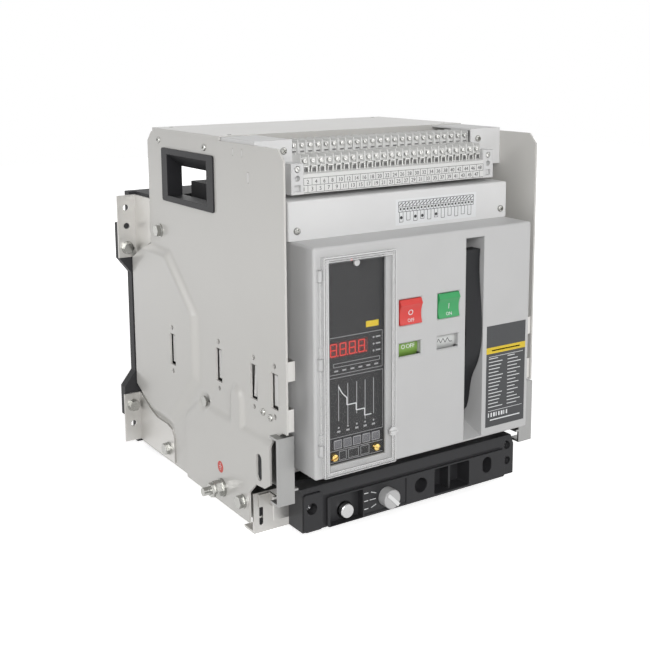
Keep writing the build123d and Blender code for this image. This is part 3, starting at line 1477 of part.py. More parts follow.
def mechanism_frame():
    """Two steel side plates joined by two spring seats."""
    front, rear = FRAME_DEPTHS
    low = BREAKER_BOTTOM + CHASSIS_T
    frame = block(
        -FRAME_HALF, FRAME_HALF, SPRING_DEPTH - SEAT_HALF, SPRING_DEPTH + SEAT_HALF,
        SPRING_LOW - TIE_T, SPRING_LOW,
    )
    frame += block(
        -FRAME_HALF, FRAME_HALF, SPRING_DEPTH - SEAT_HALF, SPRING_DEPTH + SEAT_HALF,
        SPRING_HIGH, SPRING_HIGH + TIE_T,
    )
    corners = (
        (front, low), (front, FRAME_TOP - FRAME_NOSE), (front + FRAME_NOSE, FRAME_TOP),
        (rear - FRAME_BACK[0], FRAME_TOP),
        (rear, FRAME_TOP - FRAME_BACK[1]), (rear, low),
    )
    for side in (-1, 1):
        outer = side * FRAME_HALF
        inner = side * (FRAME_HALF - FRAME_PLATE_T)
        frame += side_slab(corners, outer, inner)
        frame -= pin_x(SHAFT_DEPTH, SHAFT_HEIGHT, SHAFT_R + SHAFT_GAP, outer, inner)
        frame -= pin_x(*CAM_AXIS, CAM_SHAFT_R + SHAFT_GAP, outer, inner)
    return frame


def charging_cam():
    """The cam shaft with its eccentric disc and its ratchet wheel."""
    depth, height = CAM_AXIS
    shaft = pin_x(depth, height, CAM_SHAFT_R, -FRAME_HALF - CAM_SHAFT_LAP, CAM_SHAFT_END)
    shaft += pin_x(depth, height + CAM_THROW, CAM_R, *CAM_X)
    teeth = []
    for tooth in range(RATCHET_TEETH):
        start = 2 * pi * tooth / RATCHET_TEETH
        teeth.append((
            depth + (RATCHET_R - RATCHET_TOOTH) * cos(start),
            height + (RATCHET_R - RATCHET_TOOTH) * sin(start),
        ))
        teeth.append((depth + RATCHET_R * cos(start), height + RATCHET_R * sin(start)))
    return shaft + side_slab(teeth, *RATCHET_X)


def closing_spring():
    """The coil spring that closes the contacts, between its two seats."""
    low = z_at(SPRING_LOW) + SPRING_WIRE_R
    high = z_at(SPRING_HIGH) - SPRING_WIRE_R
    steps = SPRING_TURNS * SPRING_SIDES
    points = []
    for step in range(steps + 1):
        turn = 2 * pi * step / SPRING_SIDES
        points.append((SPRING_R * cos(turn), SPRING_R * sin(turn), (high - low) * step / steps))
    path = Polyline(*points)
    section = Plane(origin=path @ 0, z_dir=path % 0) * RegularPolygon(SPRING_WIRE_R, 6)
    coil = sweep(section, path=path, transition=Transition.RIGHT)
    return Pos(SPRING_X, y_at(SPRING_DEPTH), low) * coil


save("mechanism_frame", mechanism_frame())
save("charging_cam", charging_cam())
save("closing_spring", closing_spring())

# Trip unit and its clear door
TRIP_FACE = -14.0
TRIP_REAR = 90.0
TRIP_LIP = 4.0
RESET_X = -95.5
RESET_HEIGHT = 306.0
RESET_R = 3.5
RESET_TRAVEL = 3.0
RESET_LENGTH = 12.0
DOOR_T = 1.5
DOOR_RIM = 1.5
DOOR_DEPTH = 6.0
DOOR_HOLE_R = 5.0
LATCH_X = -55.0
LATCH_HEIGHT = 115.0
LATCH_DISC_T = 1.5
LATCH_R = 5.0
LATCH_PIN_R = 2.0
LATCH_PROUD = 4.0


def trip_unit():
    """The electronic trip unit's case: a lip against the cover's inside, and a sunk face."""
    x0, x1, low, high = CONTROLLER
    lip_front = COVER_FRONT + COVER_WALL
    case = block(x0 - TRIP_LIP, x1 + TRIP_LIP, lip_front, TRIP_REAR, low - TRIP_LIP, high + TRIP_LIP)
    case -= block(x0, x1, lip_front, TRIP_FACE, low, high)
    return case - pin_y(
        RESET_X, RESET_HEIGHT, RESET_R + RUN_GAP, TRIP_FACE, TRIP_FACE + RESET_LENGTH + RESET_TRAVEL,
    )


def controller_door():
    """A clear tray over the trip unit, hinged on its left edge."""
    x0, x1, low, high = DOOR
    rear = COVER_FRONT - DOOR_GAP
    front = rear - DOOR_DEPTH
    door = block(x0, x1, front, rear, low, high)
    door -= block(
        x0 + DOOR_RIM, x1 - DOOR_RIM, front + DOOR_T, rear, low + DOOR_RIM, high - DOOR_RIM,
    )
    for first, second in zip(HINGE_HEIGHTS, HINGE_HEIGHTS[1:]):
        knuckle_low = first + HINGE_KNUCKLE + RUN_GAP
        knuckle_high = knuckle_low + HINGE_KNUCKLE
        if knuckle_high > second:
            knuckle_high = second - RUN_GAP
        door += pin_z(HINGE_X, HINGE_DEPTH, HINGE_R, knuckle_low, knuckle_high)
        door += block(HINGE_X, x0 + DOOR_RIM, HINGE_DEPTH - HINGE_R, HINGE_DEPTH, knuckle_low, knuckle_high)
    door += pin_z(HINGE_X, HINGE_DEPTH, HINGE_PIN_R, HINGE_HEIGHTS[0], HINGE_HEIGHTS[-1] + HINGE_KNUCKLE)
    door -= pin_y(RESET_X, RESET_HEIGHT, DOOR_HOLE_R, front, front + DOOR_T)
    door -= pin_y(LATCH_X, LATCH_HEIGHT, LATCH_PIN_R + SHAFT_GAP, front, front + DOOR_T)
    return door


def door_latch():
    """A quarter-turn knob with a finger rib, on a pin through the door."""
    front = COVER_FRONT - DOOR_GAP - DOOR_DEPTH
    latch = pin_y(LATCH_X, LATCH_HEIGHT, LATCH_R, front - RUN_GAP - LATCH_DISC_T, front - RUN_GAP)
    latch += block(
        LATCH_X - LATCH_R, LATCH_X + LATCH_R, front - LATCH_PROUD, front - RUN_GAP - 1,
        LATCH_HEIGHT - 1, LATCH_HEIGHT + 1,
    )
    return latch + pin_y(LATCH_X, LATCH_HEIGHT, LATCH_PIN_R, front - RUN_GAP, front + DOOR_DEPTH - 1)


def reset_button():
    """The small round button that shows and resets a fault trip."""
    return pin_y(RESET_X, RESET_HEIGHT, RESET_R, TRIP_FACE - 2, TRIP_FACE - 2 + RESET_LENGTH)


save("trip_unit", trip_unit())
save("controller_door", controller_door())
save("door_latch", door_latch())
save("reset_button", reset_button())

# Push buttons and flags


def push_button(x):
    """A square cap with a finger ridge and a hollow below it, on a round stem."""
    face = COVER_FRONT - BUTTON_PROUD
    mid = BUTTON_HEIGHT
    half = BUTTON_H / 2 - RUN_GAP
    ridge = z_at(mid + half * BUTTON_RIDGE)
    side = make_face(
        Polyline(
            (y_at(face), ridge), (y_at(face + BUTTON_DISH), z_at(mid + half)),
            (y_at(face + BUTTON_CAP_T), z_at(mid + half)),
            (y_at(face + BUTTON_CAP_T), z_at(mid - half)), (y_at(face + 1), z_at(mid - half)),
        )
        + ThreePointArc(
            (y_at(face + 1), z_at(mid - half)), (y_at(face + BUTTON_DISH), z_at(mid)), (y_at(face), ridge),
        )
    )
    left = x - BUTTON_W / 2 + RUN_GAP
    cap = extrude(Plane.YZ.offset(left) * side, BUTTON_W - 2 * RUN_GAP)
    return cap + pin_y(x, mid, BUTTON_STEM_R, face + BUTTON_CAP_T, BUTTON_STEM_END)


def flag_drum(x):
    """A sector of a drum behind a window, on its pin."""
    left = x - WINDOW_W / 2
    right = x + WINDOW_W / 2
    drum = pin_x(FLAG_AXIS_DEPTH, WINDOW_HEIGHT, FLAG_R, left, right)
    drum -= pin_x(FLAG_AXIS_DEPTH, WINDOW_HEIGHT, FLAG_R - FLAG_T, left + FLAG_T, right)
    low = WINDOW_HEIGHT - FLAG_R
    high = WINDOW_HEIGHT + FLAG_R
    drum -= block(left, right, FLAG_AXIS_DEPTH - 2, FLAG_AXIS_DEPTH + FLAG_R, low, high)
    drum -= block(left, right, -FLAG_R, FLAG_AXIS_DEPTH + FLAG_R, WINDOW_HEIGHT + FLAG_OPEN, high)
    drum += pin_x(FLAG_AXIS_DEPTH, WINDOW_HEIGHT, FLAG_PIN_R + 1, left, left + FLAG_T)
    reach = RUN_GAP + FLAG_CHEEK_T
    return drum + pin_x(FLAG_AXIS_DEPTH, WINDOW_HEIGHT, FLAG_PIN_R, left - reach, right + reach)


save("off_button", push_button(OFF_X))
save("on_button", push_button(ON_X))
save("state_flag", flag_drum(OFF_X))
save("charge_flag", flag_drum(ON_X))

# Charging handle: the long black lever in its slot
HANDLE_GAP = 1.5
HANDLE_LENGTH = 189.0
HANDLE_NOSE = ((5.1, 1.0), (3.1, 0.7), (0.8, 0.41), (9.1, 0.26), (16.1, 0.185), (20.1, 0.08), (25.1, -0.026))
HANDLE_BACK = (
    (31.1, -0.063), (42.1, -0.058), (46.1, 0.005), (38.1, 0.1), (26.1, 0.41), (20.1, 1.0), (5.1, 1.0),
)


def charging_handle():
    """A tapered lever that bellies forward, on a pin across the slot."""
    left, right = GRIP_SLOT
    depth, height = HANDLE_PIVOT
    nose = [(COVER_FRONT + behind, height + share * HANDLE_LENGTH) for behind, share in HANDLE_NOSE]
    rest = [(COVER_FRONT + behind, height + share * HANDLE_LENGTH) for behind, share in HANDLE_BACK]
    front = Spline(*nose)
    back = Polyline(nose[-1], *rest)
    profile = Pos(y_at(0), z_at(0)) * make_face(front + back)
    lever = extrude(Plane.YZ.offset(left + HANDLE_GAP) * profile, right - left - 2 * HANDLE_GAP)
    return lever + pin_x(depth, height, HANDLE_PIN_R, left - SLOT_WALL, right + SLOT_WALL)


save("charging_handle", charging_handle())
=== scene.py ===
import math

import bmesh
import bpy
import numpy as np
from mathutils import Matrix, Vector


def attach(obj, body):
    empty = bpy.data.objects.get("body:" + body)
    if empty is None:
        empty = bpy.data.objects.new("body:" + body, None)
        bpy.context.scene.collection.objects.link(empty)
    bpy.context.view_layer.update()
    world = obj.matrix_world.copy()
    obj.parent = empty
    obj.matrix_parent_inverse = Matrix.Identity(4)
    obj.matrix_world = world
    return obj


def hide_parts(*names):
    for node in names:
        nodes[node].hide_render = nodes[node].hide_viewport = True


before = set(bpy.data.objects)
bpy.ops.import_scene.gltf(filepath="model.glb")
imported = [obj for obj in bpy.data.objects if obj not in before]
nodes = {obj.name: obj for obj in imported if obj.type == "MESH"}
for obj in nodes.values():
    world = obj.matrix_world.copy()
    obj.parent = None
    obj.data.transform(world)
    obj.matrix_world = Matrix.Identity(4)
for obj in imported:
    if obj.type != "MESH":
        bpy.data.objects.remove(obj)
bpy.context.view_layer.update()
scene = bpy.context.scene
scene.view_settings.view_transform = "Standard"

# The camera stands in front, on the left, a little above the breaker's top, and
# looks slightly down. Its place was fitted to edges measured in the photograph;
# the small shift keeps the uprights near parallel.

CAMERA_SPOT = (-0.7176, -1.1261, 0.5378)
CAMERA_TURN = (32.888, -9.404, -0.408)


def seen_from(spot, yaw, pitch, roll):
    """The camera's matrix from its place and three angles in degrees."""
    yaw, pitch, roll = (math.radians(angle) for angle in (yaw, pitch, roll))
    ahead = Vector((math.sin(yaw) * math.cos(pitch), math.cos(yaw) * math.cos(pitch), math.sin(pitch)))
    level = Vector((math.cos(yaw), -math.sin(yaw), 0))
    top = level.cross(ahead)
    right = level * math.cos(roll) + top * math.sin(roll)
    up = top * math.cos(roll) - level * math.sin(roll)
    matrix = Matrix((right, up, -ahead)).transposed().to_4x4()
    return Matrix.Translation(spot) @ matrix


lens = bpy.data.cameras.new("lens")
lens.sensor_width = 36
lens.lens = 58.72
lens.shift_y = -0.15
lens.clip_end = 20
camera = bpy.data.objects.new("camera", lens)
scene.collection.objects.link(camera)
camera.matrix_world = seen_from(CAMERA_SPOT, *CAMERA_TURN)
scene.camera = camera

# The studio: a broad soft box near the camera, three weaker ones and a dim room
# that mirrors see as white. The floor is white to the camera, more so far from
# the object, and keeps the shadow.


class Wire:
    """One socket of a node tree, on which sums are written as sums."""

    def __init__(self, finish, socket):
        self.finish = finish
        self.socket = socket

    def maths(self, operation, other):
        return self.finish.node("ShaderNodeMath", {"operation": operation}, {0: self, 1: other})

    def __add__(self, other):
        return self.maths("ADD", other)

    def __mul__(self, other):
        return self.maths("MULTIPLY", other)

    def __gt__(self, other):
        return self.maths("GREATER_THAN", other)

    def __lt__(self, other):
        return self.maths("LESS_THAN", other)


class Finish:
    """A procedural material, or the room's; node() adds any node and returns its output."""

    def __init__(self, name, skin=None):
        self.name = name
        self.material = skin or bpy.data.materials.new(name)
        self.material.use_nodes = True
        self.tree = self.material.node_tree
        self.tree.nodes.clear()

    def node(self, kind, settings=None, sockets=None, out=0):
        made = self.tree.nodes.new(kind)
        for key, value in (settings or {}).items():
            setattr(made, key, value)
        for key, value in (sockets or {}).items():
            if isinstance(value, Wire):
                self.tree.links.new(value.socket, made.inputs[key])
            elif isinstance(value, tuple) and made.inputs[key].type == "RGBA":
                made.inputs[key].default_value = (*value, 1)
            else:
                made.inputs[key].default_value = value
        return Wire(self, made.outputs[out])

    def blend(self, share, first, second):
        settings = {"data_type": "RGBA"}
        return self.node("ShaderNodeMix", settings, {0: share, 6: first, 7: second}, 2)

    def place(self, scale=(1, 1, 1)):
        spot = self.node("ShaderNodeTexCoord", out="Object")
        return self.node("ShaderNodeMapping", {}, {"Vector": spot, "Scale": scale})

    def axis(self, name):
        return self.node("ShaderNodeSeparateXYZ", {}, {"Vector": self.place()}, name)

    def noise(self, size, detail=2.0, scale=(1, 1, 1)):
        sockets = {"Vector": self.place(scale), "Scale": 1 / size, "Detail": detail}
        return self.node("ShaderNodeTexNoise", {}, sockets)

    def relief(self, height, distance, strength, edge):
        """Grain over edges that are broken to a small radius."""
        broken = self.node("ShaderNodeBevel", {"samples": 4}, {"Radius": edge})
        sockets = {"Height": height, "Distance": distance, "Strength": strength, "Normal": broken}
        return self.node("ShaderNodeBump", {}, sockets)

    def shade(self, **sockets):
        named = {key.replace("_", " "): value for key, value in sockets.items()}
        return self.surface(self.node("ShaderNodeBsdfPrincipled", {}, named))

    def surface(self, skin, kind="ShaderNodeOutputMaterial"):
        end = self.tree.nodes.new(kind)
        self.tree.links.new(skin.socket, end.inputs["Surface"])
        return self


def rays(finish):
    """1 where the camera, a mirror or clear plastic looks."""
    seen = finish.node("ShaderNodeLightPath", out="Is Camera Ray")
    path = seen.socket.node
    mirrored = Wire(finish, path.outputs["Is Glossy Ray"])
    through = Wire(finish, path.outputs["Is Transmission Ray"])
    return (seen + mirrored + through).maths("MINIMUM", 1.0)


FLOOR_REACH = 4
GLOW_FROM, GLOW_TO = 0.5, 1.4
NEAR_GLOW, FAR_GLOW = 0.72, 1.2
floor_finish = Finish("studio_floor")
dust = floor_finish.noise(0.3)
paper = floor_finish.blend(dust, (0.9, 0.9, 0.9), (0.93, 0.93, 0.93))
card = floor_finish.node("ShaderNodeBsdfDiffuse", {}, {"Color": paper})
away = floor_finish.node("ShaderNodeVectorMath", {"operation": "LENGTH"}, {0: floor_finish.place()}, "Value")
fade = floor_finish.node("ShaderNodeMapRange", {}, {
    "Value": away, "From Min": GLOW_FROM, "From Max": GLOW_TO, "To Min": NEAR_GLOW, "To Max": FAR_GLOW})
glow = floor_finish.node("ShaderNodeEmission", {}, {"Strength": rays(floor_finish) * fade})
floor_finish.surface(floor_finish.node("ShaderNodeAddShader", {}, {0: card, 1: glow}))

corners = [(x * FLOOR_REACH, y * FLOOR_REACH, 0) for x, y in ((-1, -1), (1, -1), (1, 1), (-1, 1))]
floor_mesh = bpy.data.meshes.new("floor")
floor_mesh.from_pydata(corners, [], [(0, 1, 2, 3)])
floor_mesh.materials.append(floor_finish.material)
floor = bpy.data.objects.new("floor", floor_mesh)
scene.collection.objects.link(floor)

room = Finish("room", bpy.data.worlds.new("room"))
scene.world = room.material
dim = room.node("ShaderNodeBackground", {}, {"Color": (1, 0.995, 0.985), "Strength": 0.16})
bright = room.node("ShaderNodeBackground", {}, {"Color": (1, 1, 1), "Strength": 1.0})
either = room.node("ShaderNodeMixShader", {}, {0: rays(room), 1: dim, 2: bright})
room.surface(either, "ShaderNodeOutputWorld")

AIM = Vector((0, 0, 0.2))


def lamp(name, spot, size, power):
    """A square soft box that looks at the object's middle."""
    light = bpy.data.lights.new(name, "AREA")
    light.size = size
    light.energy = power
    holder = bpy.data.objects.new(name, light)
    scene.collection.objects.link(holder)
    holder.location = spot
    holder.rotation_euler = (AIM - Vector(spot)).to_track_quat("-Z", "Y").to_euler()


lamp("key_box", (-1.15, -2.35, 1.2), 1.3, 45)
lamp("front_box", (1.3, -2.2, 0.9), 1.2, 7)
lamp("left_box", (-2.6, 0.5, 0.9), 1.2, 11)
lamp("top_box", (0.1, -0.2, 2.6), 1.8, 9)

# Side plates: 2.5 mm steel sheet, pressed with a raised octagon, a raised lower
# front and its arch, then sprayed a warm light grey. The punched edges are sharp.
# Places are (depth, height) in mm from the plates' front lower corner.

MM = 0.001
FRONT_TO_ORIGIN = 210.0
FOOT_DROP = 13.0
PLATE_HALF = 175.0
PLATE_T = 2.5
SMOOTH_BELOW = 0.6


def at(x, depth, height):
    """A point from the cradle's millimetres in the frame's metres."""
    return Vector((x, depth - FRONT_TO_ORIGIN, height + FOOT_DROP)) * MM


def dress(finish, *names):
    """Give CAD nodes their finish."""
    for name in names:
        nodes[name].data.materials.clear()
        nodes[name].data.materials.append(finish.material)


def add_piece(name, mesh, finish, body, stands_for=()):
    """Put a mesh into the scene, dressed and riding on its body."""
    if isinstance(mesh, bmesh.types.BMesh):
        shape = mesh
        mesh = bpy.data.meshes.new(name)
        bmesh.ops.recalc_face_normals(shape, faces=shape.faces)
        shape.to_mesh(mesh)
        shape.free()
    mesh.materials.clear()
    mesh.materials.append(finish.material)
    mesh.polygons.foreach_set("material_index", [0] * len(mesh.polygons))
    mesh.shade_smooth()
    mesh.set_sharp_from_angle(angle=SMOOTH_BELOW)
    piece = bpy.data.objects.new(name, mesh)
    scene.collection.objects.link(piece)
    if stands_for:
        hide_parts(*stands_for)
    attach(piece, body)
    return piece


def paint(name, colour, rough=0.3):
    """Sprayed paint with a fine orange peel, a little uneven."""
    finish = Finish(name)
    cloud = finish.noise(0.09, 3.0)
    peel = finish.noise(0.0016, 2.0)
    shade = tuple(channel * 0.95 for channel in colour)
    gloss = cloud * 0.1 + (rough - 0.05)
    return finish.shade(Base_Color=finish.blend(cloud, shade, colour), Roughness=gloss, Coat_Weight=0.25,
                        Coat_Roughness=0.12, Normal=finish.relief(peel, 0.0003, 0.12, 0.0006))


def loft(bm, rings):
    """Skin rings of points, in metres, into one closed form."""
    rings = [[bm.verts.new(point) for point in points] for points in rings]
    bm.faces.new(rings[0])
    bm.faces.new(rings[-1])
    for low, high in zip(rings, rings[1:]):
        for index in range(len(low)):
            after = (index + 1) % len(low)
            bm.faces.new((low[index], low[after], high[after], high[index]))


def prism(bm, points, x0, x1):
    """A straight piece with a (depth, height) outline, from x0 to x1 in mm."""
    loft(bm, [[at(x, depth, height) for depth, height in points] for x in (x0, x1)])


def ring(across, up, radius, sides, stretch=0.0):
    """The outline of a round or obround shape; stretch lengthens it upwards."""
    points = []
    for index in range(sides):
        turn = math.tau * (index + 0.5) / sides
        lift = math.copysign(stretch / 2, math.sin(turn))
        points.append((across + radius * math.cos(turn), up + radius * math.sin(turn) + lift))
    return points


def box(a0, a1, b0, b1):
    """The outline of a rectangle."""
    return [(a0, b0), (a1, b0), (a1, b1), (a0, b1)]


def cut(target, tool, operation):
    """A boolean between two meshes; uses both up and gives a new mesh."""
    holders = []
    for index, part in enumerate((target, tool)):
        if isinstance(part, bmesh.types.BMesh):
            mesh = bpy.data.meshes.new("part")
            bmesh.ops.recalc_face_normals(part, faces=part.faces)
            part.to_mesh(mesh)
            part.free()
            part = mesh
        holders.append(bpy.data.objects.new(f"part_{index}", part))
        scene.collection.objects.link(holders[-1])
    knife = holders[0].modifiers.new("cut", "BOOLEAN")
    knife.object = holders[1]
    knife.operation = operation
    knife.solver = "MANIFOLD"
    seen = holders[0].evaluated_get(bpy.context.evaluated_depsgraph_get())
    result = bpy.data.meshes.new_from_object(seen)
    for holder in holders:
        spare = holder.data
        bpy.data.objects.remove(holder)
        bpy.data.meshes.remove(spare)
    return result


OUTLINE = (
    (0, 127), (0, 416), (12, 428), (325, 428), (337, 416), (337, 283), (386, 258), (386, 0), (78, 0),
    (78, 36), (62, 52), (42, 54), (30, 62), (30, 113), (8, 127),
)
OCTAGON = ((349, 283), (278, 283), (201, 216), (201, 129), (278, 52), (339, 52), (395, 79), (395, 258))
OCTAGON_RISE = 6.0
OCTAGON_SLOPES = (9, 13, 15, 17, 13, 9, 5, 5)
LOW_FRONT = ((22, -9), (240, -9), (240, 88), (206, 113), (22, 113))
LOW_RISE = 4.0
LOW_SLOPES = (0.7, 0.8, 9, 9, 0.7)
CORNER_POWER = 6.0
ARCH = (106.5, 60, 138)
ARCH_HALF = 17.0
ARCH_SLOPES = (9.0, 6.0)
DIMPLE = (190.6, 111.6, 14.0, 3.0)
DIMPLE_SLOPE = 8.0
LIFTING_WINDOW = (158.8, 286.7, 349.8, 404.7)
TAB_SLOT = (54, 74.5)
FINE_SLOT_DEPTHS = (107.5, 86.5)
FINE_SLOT_HEIGHT = 418
ROUND_SLOT = (73.8, 392.7)
ADJUSTING_SLOTS = ((266.5, 159), (152.5, 166), (69.3, 167.5), (24, 168.5))
ADJUSTING_HALF = (7.5, 20)
RIVET_HOLE_STEP = 28
CELL = 2.5
SHEET = (400, 442)
SHEET_CORNER = (-6.3, -6.1)
TOOL_REACH = 9


def eased(share):
    """A straight rise from 0 to 1, made soft at both ends."""
    return share * share * (3 - 2 * share)


def inside(points, slopes, depth, height):
    """0 outside an outline, 1 within it, rising over each side's slope, corners rounded."""
    total = np.zeros_like(depth)
    for index, (d0, h0) in enumerate(points):
        d1, h1 = points[(index + 1) % len(points)]
        length = math.hypot(d1 - d0, h1 - h0)
        away = ((d1 - d0) * (height - h0) - (h1 - h0) * (depth - d0)) / length
        total += np.clip(away / slopes[index], 0.02, 9) ** -CORNER_POWER
    return eased(np.clip(total ** (-1 / CORNER_POWER), 0, 1))


def rise(depth, height):
    """How far the pressed sheet stands out of the plate, in mm."""
    octagon = inside(OCTAGON, OCTAGON_SLOPES, depth, height)
    low = inside(LOW_FRONT, LOW_SLOPES, depth, height)
    middle, bottom, top = ARCH
    beyond = np.clip(height - top, 0, None) + np.clip(bottom - height, 0, None)
    away = np.hypot(depth - middle, beyond)
    arch = eased(np.clip((ARCH_HALF - away) / np.where(depth < middle, *ARCH_SLOPES), 0, 1))
    lift = OCTAGON_RISE * octagon + LOW_RISE * np.maximum(low, arch) * (1 - octagon)
    d, h, radius, sunk = DIMPLE
    pit = np.clip((radius - np.hypot(depth - d, height - h)) / DIMPLE_SLOPE, 0, 1)
    return lift - sunk * eased(pit)


def grid_slab():
    """A flat sheet of small cells over the whole plate, as thick as the plate."""
    columns, rows = (int(length / CELL) + 1 for length in SHEET)
    points, faces = [], []
    for x in (-PLATE_HALF, -PLATE_HALF + PLATE_T):
        for row in range(rows):
            for column in range(columns):
                points.append(at(x, column * CELL + SHEET_CORNER[0], row * CELL + SHEET_CORNER[1]))
    far = rows * columns
    for row in range(rows - 1):
        for column in range(columns - 1):
            corner = row * columns + column
            near = (corner, corner + columns, corner + columns + 1, corner + 1)
            faces.append(near)
            faces.append(tuple(far + index for index in reversed(near)))
    rim = list(range(columns)) + [row * columns + columns - 1 for row in range(1, rows)]
    rim += [far - 1 - index for index in range(1, columns)]
    rim += [row * columns for row in range(rows - 2, 0, -1)]
    for index, here in enumerate(rim):
        after = rim[(index + 1) % len(rim)]
        faces.append((here, after, far + after, far + here))
    mesh = bpy.data.meshes.new("sheet")
    mesh.from_pydata(points, [], faces)
    return mesh


def pressed_plate():
    """The left plate: cut from the sheet, then pressed."""
    reach = (-PLATE_HALF - TOOL_REACH, -PLATE_HALF + TOOL_REACH)
    blank = bmesh.new()
    prism(blank, OUTLINE, *reach)
    sheet = cut(grid_slab(), blank, "INTERSECT")
    shapes = [box(*LIFTING_WINDOW), ring(*TAB_SLOT, 6, 24, 19), ring(*ROUND_SLOT, 2.2, 16, 8)]
    shapes += [box(d - 1, d + 1, FINE_SLOT_HEIGHT - 4, FINE_SLOT_HEIGHT + 4) for d in FINE_SLOT_DEPTHS]
    half, tall = ADJUSTING_HALF
    for depth, height in ADJUSTING_SLOTS:
        shapes.append(box(depth - half, depth + half, height - tall, height + tall))
        shapes += [ring(depth, height + step, 3, 16) for step in (-RIVET_HOLE_STEP, RIVET_HOLE_STEP)]
    holes = bmesh.new()
    for shape in shapes:
        prism(holes, shape, *reach)
    plate = cut(sheet, holes, "DIFFERENCE")
    spots = np.empty(len(plate.vertices) * 3)
    plate.vertices.foreach_get("co", spots)
    spots = spots.reshape(-1, 3)
    spots[:, 0] -= MM * rise(spots[:, 1] / MM + FRONT_TO_ORIGIN, spots[:, 2] / MM - FOOT_DROP)
    plate.vertices.foreach_set("co", spots.ravel())
    return plate


def mirrored(mesh, name):
    """The same piece on the other side of the cradle."""
    twin = mesh.copy()
    twin.name = name
    twin.transform(Matrix.Scale(-1, 4, (1, 0, 0)))
    twin.flip_normals()
    return twin


plate_paint = paint("plate_paint", (0.59, 0.58, 0.555))
left_plate = pressed_plate()
right_plate = mirrored(left_plate, "pressed_plate_right")
add_piece("pressed_plate_left", left_plate, plate_paint, "cradle", ["side_plate_left"])
add_piece("pressed_plate_right", right_plate, plate_paint, "cradle", ["side_plate_right"])

# Lifting windows: black linings in a glass-filled moulding, held by screws from
# the front. Its spark-eroded skin is fine and dull.

DARK = 0.05


def moulding(name, colour, rough, edge=0.0006):
    """A moulded plastic with a fine grain; dark ones gleam less."""
    finish = Finish(name)
    cloud = finish.noise(0.05, 2.0)
    grain = finish.noise(0.0007, 3.0)
    light = tuple(min(channel * 1.08 + 0.003, 1) for channel in colour)
    gloss = cloud * 0.1 + (rough - 0.05)
    gleam = 0.2 if max(colour) < DARK else 0.5
    return finish.shade(Base_Color=finish.blend(cloud, colour, light), Roughness=gloss,
                        Specular_IOR_Level=gleam, Normal=finish.relief(grain, 0.0002, 0.3, edge))


black_moulding = moulding("black_moulding", (0.02, 0.02, 0.022), 0.42)
dress(black_moulding, "window_frame_left", "window_frame_right")

# Small screws of the plates: zinc-plated pan heads with a cross recess. One head
# is turned and broached, then set on every place of its kind.

CROSS_REACH = 0.62
SLOT_REACH = 1.2
BLADE_HALF = 0.17


def plated(name, colour, rough, brush=(1, 14, 14)):
    """Plated or drawn steel with long fine marks."""
    finish = Finish(name)
    lines = finish.noise(0.0048, 3.0, brush)
    cloud = finish.noise(0.03, 3.0)
    dull = tuple(channel * 0.78 for channel in colour)
    tone = finish.blend(lines * 0.5 + cloud * 0.5, dull, colour)
    gloss = lines * 0.16 + cloud * 0.12 + (rough - 0.14)
    return finish.shade(Base_Color=tone, Roughness=gloss, Metallic=1.0,
                        Normal=finish.relief(lines, 0.00012, 0.5, 0.0004))


def turned(bm, profile, sides=20):
    """A round form about Z from (radius, height) pairs in mm, closed at both ends."""
    turns = [math.tau * index / sides for index in range(sides)]
    loft(bm, [[Vector((radius * math.cos(turn), radius * math.sin(turn), height)) * MM for turn in turns]
              for radius, height in profile])


def brick(bm, corner, other):
    """A rectangular block between two corners in metres."""
    (x0, y0, z0), (x1, y1, z1) = corner, other
    spots = [(x, y, z) for x in (x0, x1) for y in (y0, y1) for z in (z0, z1)]
    verts = [bm.verts.new(spot) for spot in spots]
    for face in ((0, 1, 3, 2), (4, 6, 7, 5), (0, 4, 5, 1), (2, 3, 7, 6), (0, 2, 6, 4), (1, 5, 7, 3)):
        bm.faces.new([verts[index] for index in face])


def pan_head(radius, tall, recess):
    """A screw head that looks along +Z, with a cross or one slot."""
    head = bmesh.new()
    turned(head, [(radius, -1), (radius, tall * 0.45), (radius * 0.86, tall * 0.82), (radius * 0.5, tall)])
    blades = [(SLOT_REACH, BLADE_HALF, 0.3)]
    if recess == "cross":
        blades = [(CROSS_REACH, BLADE_HALF, 0.3), (BLADE_HALF, CROSS_REACH, 0.25)]
    for across, along, foot in blades:
        half = Vector((radius * across, radius * along, 0))
        blade = bmesh.new()
        brick(blade, (Vector((0, 0, tall * foot)) - half) * MM, (Vector((0, 0, tall + 1)) + half) * MM)
        head = cut(head, blade, "DIFFERENCE")
    return head


class Tree:
    """A Geometry Nodes tree; node() adds any node and returns its output socket."""

    def __init__(self, name, inputs):
        self.tree = bpy.data.node_groups.new(name, "GeometryNodeTree")
        self.sockets = {}
        for label, kind in inputs.items():
            made = self.tree.interface.new_socket(label, in_out="INPUT", socket_type=kind)
            self.sockets[label] = made.identifier
        self.tree.interface.new_socket("Geometry", in_out="OUTPUT", socket_type="NodeSocketGeometry")
        self.entry = self.tree.nodes.new("NodeGroupInput")

    def given(self, label):
        return self.entry.outputs[label]

    def node(self, kind, settings=None, sockets=None, out=0):
        made = self.tree.nodes.new(kind)
        for key, value in (settings or {}).items():
            setattr(made, key, value)
        for key, value in (sockets or {}).items():
            if isinstance(value, bpy.types.NodeSocket):
                self.tree.links.new(value, made.inputs[key])
            else:
                made.inputs[key].default_value = value
        return made.outputs[out]

    def end(self, geometry):
        """Real geometry, in the finish that is asked for."""
        real = self.node("GeometryNodeRealizeInstances", {}, {0: geometry})
        dressed = self.node("GeometryNodeSetMaterial", {}, {0: real, "Material": self.given("Finish")})
        leave = self.tree.nodes.new("NodeGroupOutput")
        self.tree.links.new(dressed, leave.inputs[0])


